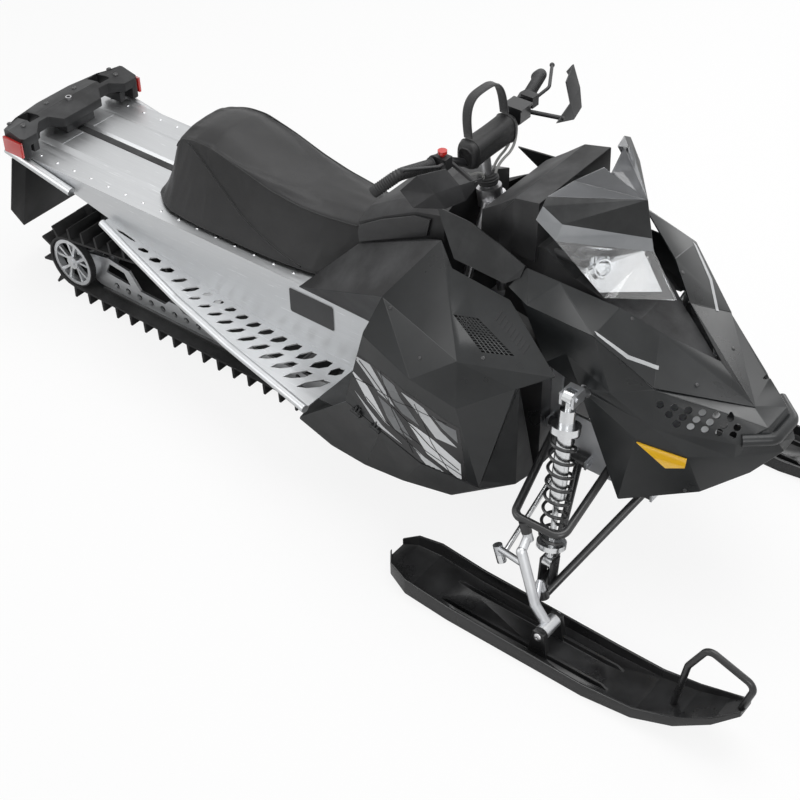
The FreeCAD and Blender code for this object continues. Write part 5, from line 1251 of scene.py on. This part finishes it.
def dome_heads(name, places, normals, radius, height, finish, body="chassis", sides=12):
    """Many low domes as one mesh: rings round each place's normal."""
    places, normals = np.asarray(places, float), np.asarray(normals, float)
    first = np.cross(normals, (0.31, 0.52, 0.79))       # across the normal, whichever way it points
    first /= np.linalg.norm(first, axis=1)[:, None]
    axes = np.stack([first, np.cross(normals, first), normals], axis=1)
    ring = np.concatenate([circle(radius, sides), np.full((sides, 1), height)], axis=1)
    head = np.concatenate([ring * (out, out, up) for out, up in DOME])
    points = places[:, None, :] + head @ axes
    count = len(head)
    one = grid_faces(len(DOME), sides, wrap_columns=True).tolist()
    one += [list(range(sides))[::-1], list(range(count - sides, count))]
    faces = [[i * count + v for v in face] for i in range(len(places)) for face in one]
    return dress(mesh_piece(name, points.reshape(-1, 3), faces), finish, body)


def seated(tree, starts, direction, reach=0.4):
    """Where rays from the starts meet a node, with the normals there."""
    places, normals = [], []
    for start in starts:
        hit, normal, index, distance = tree.ray_cast(Vector(start), Vector(direction), reach)
        if hit is not None:
            places.append(tuple(hit))
            normals.append(tuple(normal))
    return places, normals


def add_tunnel_trim():
    """The strip, and a row of rivets on each side; returns how many rivets there are."""
    top = TUNNEL_HIGH[2]
    x = np.linspace(PIVOT_X - STRIP_ENDS[0], PIVOT_X - STRIP_ENDS[1], 60)
    base = seated(TUNNEL_TREE, [(v, 0.0, top + 0.05) for v in x], (0, 0, -1))[0]
    line = np.array(base) + (0, 0, STRIP_RAISED)
    closed_band("channel_strip", line, band_section(*STRIP_SIZE, 16), (0.0, 0.0, 1.0), "soft_rubber")
    along = np.arange(TUNNEL_LOW[0] + 0.05, PIVOT_X - 0.95, RIVET_PITCH)
    heads = 0
    for side, sign in SIDES:
        starts = [(v, sign * (TUNNEL_HIGH[1] - RIVET_IN), top + 0.08) for v in along]
        places, normals = seated(TUNNEL_TREE, starts, (0, 0, -1))
        dome_heads("tunnel_rivets_" + side, places, normals, 0.0052, 0.0022, "shock_metal")
        heads += len(places)
    return heads


print("rivets:", add_tunnel_trim())

# %% [markdown]
# ## Boot on the steering post
# The cables go into a rubber bellows that is clipped round the post. Its outline is a sum of a wide waist and
# a small cosine ripple, turned about the post's axis.

# %% Cable boot
BOOT_R, POST_R = 0.030, 0.0143


def add_boot(rows=40, sides=40):
    """Surface of revolution round the leaning post: radius is a wide arch plus a ripple of four waves."""
    way = np.linspace(0, 1, rows)
    arch = BOOT_R * (0.80 + 0.16 * np.sin(way * math.pi)) + 0.0011 * np.cos(way * 8 * math.pi)
    foot, top = post_point(BOOT_FOOT), post_point(BOOT_TOP)
    line = foot + (top - foot) * way[:, None]
    outside = along_path(line, circle(1.0, sides), (0.0, 1.0, 0.0)) - line[:, None, :]
    outer = line[:, None, :] + outside * arch[:, None, None]
    inner = line[::-1][:, None, :] + outside * POST_R
    grid = np.concatenate([outer, inner])
    faces = grid_faces(2 * rows, sides, wrap_rows=True, wrap_columns=True)[:, ::-1]
    return dress(mesh_piece("cable_boot", grid.reshape(-1, 3), faces), "soft_rubber", "steering", "cables")


print("boot:", len(add_boot().data.polygons), "faces")

# %% [markdown]
# ## Screws and bolts
# Panels are held by wide button screws, the bumper by bolts, and each ski by a bolt through its saddle.
# Every head is set where a straight line from outside meets the part, so it sits on the surface at its angle.

# %% Heads on panels, bumper and skis
# places behind the ski pivots, with a height over the ground (across) or a distance off the middle (down)
PANEL_SCREWS = [(0.500, 0.640), (0.250, 0.520), (0.800, 0.560), (0.330, 0.700), (0.640, 0.700),
                (0.420, 0.230)]
HOOD_SCREWS = [(0.330, 0.140), (0.060, 0.120), (-0.120, 0.090)]
NOSE_SCREWS = [(-0.160, 0.380), (-0.060, 0.330)]
BUMPER_BOLTS = [(2.262, 0.060), (2.262, 0.215), (2.215, 0.200)]
SCREW_REACH = 0.85                  # how far across a panel's screw is looked for
SKI_REACH = 0.15                    # a ski's bolt is looked for from this far to either side of its pivot


def screw_rows(side):
    """Name, node, places, direction, radius and height of each group of heads on one side."""
    return [
        ("panel_screws_", "side_panel_" + side, PANEL_SCREWS, "across", 0.0058, 0.0022),
        ("hood_screws_", "hood", HOOD_SCREWS, "down", 0.0055, 0.0020),
        ("nose_screws_", "nose", NOSE_SCREWS, "across", 0.0055, 0.0020),
        ("bumper_bolts_", "rear_bumper", BUMPER_BOLTS, "down", 0.0085, 0.0045),
    ]


def add_screws():
    """All heads of both sides; returns how many there are."""
    count = 0
    for side, sign in SIDES:
        for label, node_name, spots, way, radius, height in screw_rows(side):
            tree = tree_of(node_name)
            if way == "down":
                starts = [(PIVOT_X - back, sign * off, ABOVE) for back, off in spots]
                places, normals = seated(tree, starts, (0, 0, -1), REACH_DOWN)
            else:
                starts = [(PIVOT_X - back, sign * BESIDE, z) for back, z in spots]
                places, normals = seated(tree, starts, (0, -sign, 0), SCREW_REACH)
            body = BODY_OF.get(node_name, "chassis")
            if places:
                dome_heads(label + side, places, normals, radius, height, "black_metal", body, 16)
            count += len(places)
        tree = tree_of("ski_" + side)
        places, normals = [], []
        for way in (1, -1):
            start = Vector(JOINT_AT[side + "_ski_pitch"]) + Vector((0, way * SKI_REACH, 0))
            hit_places, hit_normals = seated(tree, [start], (0, -way, 0), SKI_REACH)
            places += hit_places
            normals += hit_normals
        dome_heads("ski_bolts_" + side, places, normals, 0.0120, 0.0060, "steel", side + "_runner", 18)
        count += len(places)
    return count


print("screws and bolts:", add_screws())

# %% [markdown]
# ## Small films and a blank plate
# The hood carries a thin silver stripe along its edge, the side panels a row of short black ribs,
# and the tunnel a blank dark plate with a pale rim. All are thin films laid on in the way of the artwork.

# %% Stripe, slot and plate
STRIPE = [(0.098, 0.2325), (0.020, 0.1935), (-0.036, 0.1390), (-0.040, 0.1475), (0.018, 0.2040),
          (0.088, 0.2345)]
SLOT_ENDS = ((0.352, 0.770), (0.240, 0.728))
SLOT_HALF, SLOT_RIBS = 0.0085, 9
RIB = np.array([(0.004, -SLOT_HALF), (-0.001, -SLOT_HALF), (-0.004, SLOT_HALF), (0.001, SLOT_HALF)])
PLATE_BACK, PLATE_UP = (1.108, 0.945), (0.405, 0.488)
PLATE_STEP = 0.03


def rounded_box(back, up, corner, grow=0.0):
    """Corners of a rectangle whose corners are cut by short slants."""
    (b0, b1), (z0, z1) = (max(back) + grow, min(back) - grow), (min(up) - grow, max(up) + grow)
    return [(b0 - corner, z0), (b1 + corner, z0), (b1, z0 + corner), (b1, z1 - corner), (b1 + corner, z1),
            (b0 - corner, z1), (b0, z1 - corner), (b0, z0 + corner)]


def add_small_films():
    """A stripe and a slot's ribs on each side, and the plate on the right of the tunnel."""
    for side, sign in SIDES:
        stripe = drop_film(tree_of("hood"), STRIPE, sign, FILM_PROUD, down=True)
        film_piece("hood_stripe_" + side, "film_silver", [stripe])
        panel = tree_of("side_panel_" + side)
        shares = np.linspace(0.04, 0.96, SLOT_RIBS)[:, None]
        middles = np.array(SLOT_ENDS[0]) * (1 - shares) + np.array(SLOT_ENDS[1]) * shares
        ribs = [drop_film(panel, middle + RIB, sign, FILM_PROUD) for middle in middles]
        film_piece("slot_ribs_" + side, "film_black", ribs, side + "_door")
    rim = rounded_box(PLATE_BACK, PLATE_UP, 0.006, 0.0022)
    plate = rounded_box(PLATE_BACK, PLATE_UP, 0.005)
    for name, finish, corners, height in (("plate_rim", "film_silver", rim, 0.7),
                                          ("blank_plate", "plate_black", plate, 1.4)):
        film = drop_film(TUNNEL_TREE, corners, -1, FILM_PROUD * height, PLATE_STEP)
        film_piece(name, finish, [film])


add_small_films()
print("films laid on the hood, panels and tunnel")
